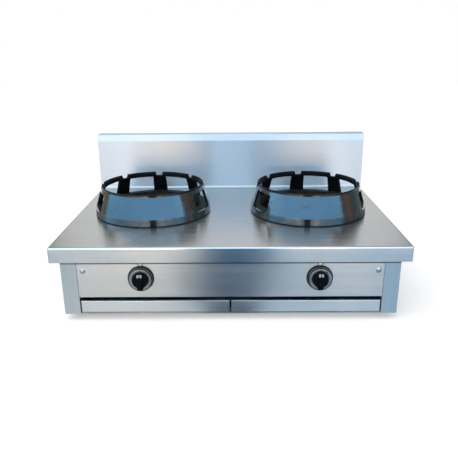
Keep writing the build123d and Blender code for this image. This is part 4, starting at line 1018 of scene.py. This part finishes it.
def ring_mesh():
    """Cast ring: channel base, leaning wall with windows, rim with notches above the posts."""
    low, middle, high, lip, top = WALL_LOW, 0.051, 0.078, 0.0875, WALL_TOP
    inner, wall, bore, notch_floor = 0.155, 0.008, 0.1560, 0.082
    profile = [
        (inner, 0.0), (inner + wall, 0.0), (inner + wall, 0.016), (GROOVE_RADIUS, 0.016),
        (GROOVE_RADIUS, 0.0), (0.189, 0.0), (0.1882, 0.012), (0.1874, low),
        (cone(low) + 0.0002, low), (cone(middle), middle), (cone(high), high),
        (cone(lip), lip), (cone(lip) - 0.0011, lip + 0.0006), (0.1646, top), (0.1610, top),
        (bore, 0.0885), (bore, high), (cone(high) - wall, high),
        (cone(middle) - wall, middle), (cone(low) - wall, low), (inner, low),
    ]
    outside, inside = (8, 9, 10), (19, 18, 17)  # the wall's points in the profile, from below
    open_columns = outside[:2] + inside[1:]
    angles, marks = ring_columns()
    near = 0.01

    def kind_at(angle, wanted):
        return any(kind == wanted and first <= angle <= last for first, last, kind in marks)

    bm = bmesh.new()
    rows = []
    for angle in angles:
        notched = any(kind_at(angle + slack, "notch") for slack in (-near, near))
        turn = math.radians(angle - 90.0)
        row = []
        for radius, height in profile:
            if notched and height > notch_floor:
                radius = min(radius, cone(notch_floor))
                height = notch_floor + (height - notch_floor) * 0.02
            row.append((*polar(radius, turn), height))
        rows.append(row)
    rows = verts_at(bm, rows)

    def in_window(row, column):
        after = angles[row + 1] if row + 1 < len(angles) else 360.0
        return column in open_columns and kind_at((angles[row] + after) / 2, "window")

    grid_faces(bm, rows, close_rows=True, around=True, skip=in_window)
    corners = []
    for first, last, kind in marks:
        if kind != "window":
            continue
        span = [rows[i] for i, angle in enumerate(angles) if first - near <= angle <= last + near]
        for one, two in zip(span, span[1:]):
            for level in (0, 2):
                out, back = outside[level], inside[level]
                bm.faces.new((one[out], two[out], two[back], one[back]))
        for row in (span[0], span[-1]):
            for level in (0, 1):
                jamb = (*outside[level : level + 2], inside[level + 1], inside[level])
                bm.faces.new([row[point] for point in jamb])
            corners += [bm.edges.get((row[outside[level]], row[inside[level]])) for level in (0, 2)]
    bmesh.ops.bevel(
        bm, geom=corners, offset=0.004, segments=3, affect="EDGES", profile=0.5, clamp_overlap=True
    )
    return bm


def make_rings(looks):
    for side_name, side in SIDES.items():
        bm = ring_mesh()
        turn = Matrix.Rotation(math.radians(5.0 if side > 0 else 0.0), 4, "Z")
        bm.transform(Matrix.Translation((side * RING_X, RING_Y, DECK)) @ turn)
        name = f"{side_name}_wok_ring"
        piece(name + "_casting", name, bm, looks["ring"], [name], bevel=0.0012)


# Knobs and small parts


def knob_mesh(spot):
    """Skirt, hub and bar in one moulding, with a bore for the spindle."""
    bore, skirt_top, hub_top = 0.0041, 0.0063, 0.0180
    skirt = [
        (bore, 0.0), (0.008, 0.0), (0.008, 0.0036), (0.0320, 0.0036), (0.0320, 0.0),
        (0.0345, 0.0), (0.0337, skirt_top), (bore, skirt_top),
    ]
    hub = [(bore, 0.0055), (0.0227, 0.0055), (0.0206, hub_top), (bore, hub_top)]
    bm = lathe(rounded_profile(skirt, [0, 0, 0, 0, 0.0004, 0.0008, 0.0014, 0]), spot)
    bm = join(bm, lathe(rounded_profile(hub, [0, 0, 0.0014, 0]), spot))
    return join(bm, knob_bar(spot))


def bar_outline(upper, lower, half):
    """Outline of the bar, with ends that follow circles of the given radii."""
    outline = []
    for end, radius in ((1, upper), (-1, lower)):
        limit = math.asin(half / radius)
        for step in range(9):
            turn = end * math.pi / 2 + (step / 8 - 0.5) * 2 * limit
            outline.append(polar(radius, turn))
    return outline


def knob_bar(spot):
    """Bar grip across the hub: sloped upper end, lower end past the hub and rounded crown."""
    bm = bmesh.new()
    rows = []
    for depth, upper, lower, half in (
        (0.0060, 0.0224, 0.0262, 0.0078), (0.0150, 0.0224, 0.0262, 0.0078),
        (0.0170, 0.0206, 0.0260, 0.0078), (0.0216, 0.0148, 0.0256, 0.0076),
        (0.0226, 0.0132, 0.0250, 0.0071), (0.0231, 0.0121, 0.0242, 0.0062),
        (0.0233, 0.0110, 0.0232, 0.0052),
    ):
        rows.append([spot(a, b, depth) for a, b in bar_outline(upper, lower, half)])
    closed_stack(bm, rows)
    return bm


def pointer_and_highlight_patch(spot):
    """Pale patch on the bar's sloped end, with a dark notch left open in its middle: partly a
    pointer mark, partly a painted highlight of the sky on that end.
    """
    bm = bmesh.new()
    low, high = (0.0137, 0.0222), (0.0203, 0.0174)
    slope = (0.63, 0.77)  # outward from the sloped end: share along the bar and share forwards
    for first, last in ((-0.0066, -0.0013), (0.0013, 0.0066)):
        rows = []
        for raised in (-0.0008, 0.0004):
            corners = []
            for x, (z, depth) in ((first, low), (last, low), (last, high), (first, high)):
                inward = 0.55 * abs(x) ** 2 / 0.02
                z = z - inward + raised * slope[0]
                corners.append(spot(x, z, depth + raised * slope[1]))
            rows.append(corners)
        closed_stack(bm, rows)
    return bm


def dial_marks(spot):
    """Two wide marks and a narrow one on the dial plate."""
    bm = bmesh.new()
    inner, low, high = 0.0248, 0.00705, 0.00725
    for degrees, length, width in (
        (0, 0.0050, 0.0036), (-38, 0.0046, 0.0034), (-90, 0.0020, 0.0010),
    ):
        out = Vector(polar(1.0, math.radians(90 + degrees)))
        start, end = out * inner, out * (inner + length)
        wide, narrow = left_of(out) * width / 2, left_of(out) * width / 4
        shape = [start - wide, end - narrow, end + narrow, start + wide]
        closed_stack(bm, [[spot(p.x, p.y, h) for p in shape] for h in (low, high)])
    return bm


def paint_skirt_sheen(knob, x, z, material):
    """Painted sheen on the side of the knob's skirt: a grey-blue metal band that stands for the
    black skirt's reflection of the sky.
    """
    knob.data.materials.append(material)
    for face in knob.data.polygons:
        out = math.hypot(face.center.x - x, face.center.z - z)
        if out > 0.0335 and abs(face.normal.y) < 0.35:
            face.material_index = 1


def make_knobs(looks):
    """Knobs with their pointers, dial plates and bezels."""
    plate = rounded_profile(
        [(0.0229, 0.0063), (0.0312, 0.0063), (0.0312, 0.0071), (0.0229, 0.0071)],
        [0, 0, 0.0003, 0.0003],
        2,
    )
    rim = rounded_profile(
        [(0.0080, 0.0), (0.0370, 0.0), (0.0368, 0.0015), (0.0080, 0.0015)],
        [0, 0, 0.0008, 0.0004],
        3,
    )
    for side_name, side in SIDES.items():
        x, back = side * KNOB_X, FRONT - 0.0027
        spot = facing_front(x, back, KNOB_Z)
        body = f"{side_name}_knob"
        black = looks["knob"]
        knob = piece(body + "_moulding", body, knob_mesh(spot), black, [body])
        # Painted sheen on the side of the skirt.
        paint_skirt_sheen(knob, x, KNOB_Z, looks["band"])
        piece(body + "_pointer", body, pointer_and_highlight_patch(spot), looks["pointer"])
        node = f"{side_name}_dial_plate"
        name = f"{side_name}_dial_ring"
        piece(name, body, lathe(plate, spot), looks["dial"], [node])
        piece(f"{side_name}_dial_marks", body, dial_marks(spot), black)
        bezel = lathe(rim, facing_front(x, PANEL_FACE, KNOB_Z))
        node = f"{side_name}_bezel"
        piece(node + "_ring", "range", bezel, looks["bezel"], [node])


def make_index_marks(looks):
    """Pale mark with dark sides on the panel above each knob, and the dark arrow under it."""
    high = 0.1740
    pale = [[(-0.0046, 0.1640), (0.0046, 0.1640), (0.0046, high), (-0.0046, high)]]
    dark = [
        [(-0.0067, 0.1625), (-0.0047, 0.1625), (-0.0047, high), (-0.0067, high)],
        [(0.0047, 0.1625), (0.0067, 0.1625), (0.0067, high), (0.0047, high)],
        [(-0.0004, 0.1588), (0.0004, 0.1588), (0.0032, 0.1634), (-0.0032, 0.1634)],
    ]
    for side_name, side in SIDES.items():
        spot = facing_front(side * KNOB_X, PANEL_FACE, 0.0)
        for name, material, shapes in (("pale", "mark", pale), ("dark", "bezel", dark)):
            bm = bmesh.new()
            for shape in shapes:
                closed_stack(bm, [[spot(a, b, h) for a, b in shape] for h in (-0.0002, 0.0003)])
            piece(f"{side_name}_index_{name}", "range", bm, looks[material])


def make_screws(looks):
    """Dome-headed screws with a slot, and their shanks through panel and tab."""
    profile = [
        (0.0002, 0.0036), (0.003, 0.0033), (0.0055, 0.0024), (0.0072, 0.0012),
        (0.008, 0.0003), (0.008, 0.0), (0.0025, 0.0), (0.0025, -0.0084), (0.0019, -0.009),
        (0.0002, -0.009),
    ]
    bm = bmesh.new()
    for side, tilt in ((-1, 0.5), (1, -0.9)):
        spot = facing_front(side * SCREW_X, PANEL_FACE, SCREW_Z)
        head = lathe(profile, spot, 40)
        slot = bmesh.new()
        along, across = Vector(polar(0.0058, tilt)), Vector(polar(0.0006, tilt + math.pi / 2))
        corners = [-along - across, along - across, along + across, across - along]
        closed_stack(slot, [[spot(*corner, h) for corner in corners] for h in (0.0022, 0.006)])
        bm = join(bm, cut(head, slot))
    name = "control_panel_screw"
    piece(name + "_pair", "range", bm, looks["screw"], [name + "s"], degrees=40)


def spring_mesh(x, z, span, coil, wire):
    """Coil of round wire about an axis along Y, with flat cut ends."""
    turns, steps, sides = 5, 28, 10
    bm = bmesh.new()
    rows = []
    start, end = span[0] + wire, span[1] - wire
    for step in range(turns * steps + 1):
        turn = 2 * math.pi * step / steps
        out = Vector((math.cos(turn), 0, math.sin(turn)))
        along = start + (end - start) * step / (turns * steps)
        centre = Vector((x, along, z)) + out * coil
        row = []
        for side in range(sides):
            spin = 2 * math.pi * side / sides
            round_wire = out * (wire * math.cos(spin)) + Vector((0, wire * math.sin(spin), 0))
            row.append(centre + round_wire)
        rows.append(row)
    closed_stack(bm, rows)
    return bm


def make_springs(looks):
    """Springs of the taps, fixed coils that ride on the tap plugs; the coils do not shorten with
    the knob's travel.
    """
    travel, wire = 0.005, 0.0006
    for side_name in SIDES:
        node = f"{side_name}_tap_spring"
        low, high = (Vector(corner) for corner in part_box(node))
        middle = (low + high) / 2
        coil = (high.x - low.x) / 2 - wire
        bm = spring_mesh(middle.x, middle.z, (low.y, high.y), coil, wire)
        body = f"{side_name}_tap_plug"
        item = piece(node + "_coil", body, bm, looks["spring"], [node], degrees=60)
        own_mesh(item)


bpy.context.scene.view_settings.view_transform = "Standard"
set_camera()
set_world()
make_floor()
ground_card()
sky_card()
figure_card()
soft_sun("key", (-0.5, -0.55, 1.0), 0.9, 1.15)
looks = make_materials()
dress_nodes(looks)
make_worktop(looks)
make_splashback(looks)
make_posts(looks)
make_control_panel(looks)
make_trays(looks)
make_rings(looks)
make_knobs(looks)
make_index_marks(looks)
make_screws(looks)
make_springs(looks)
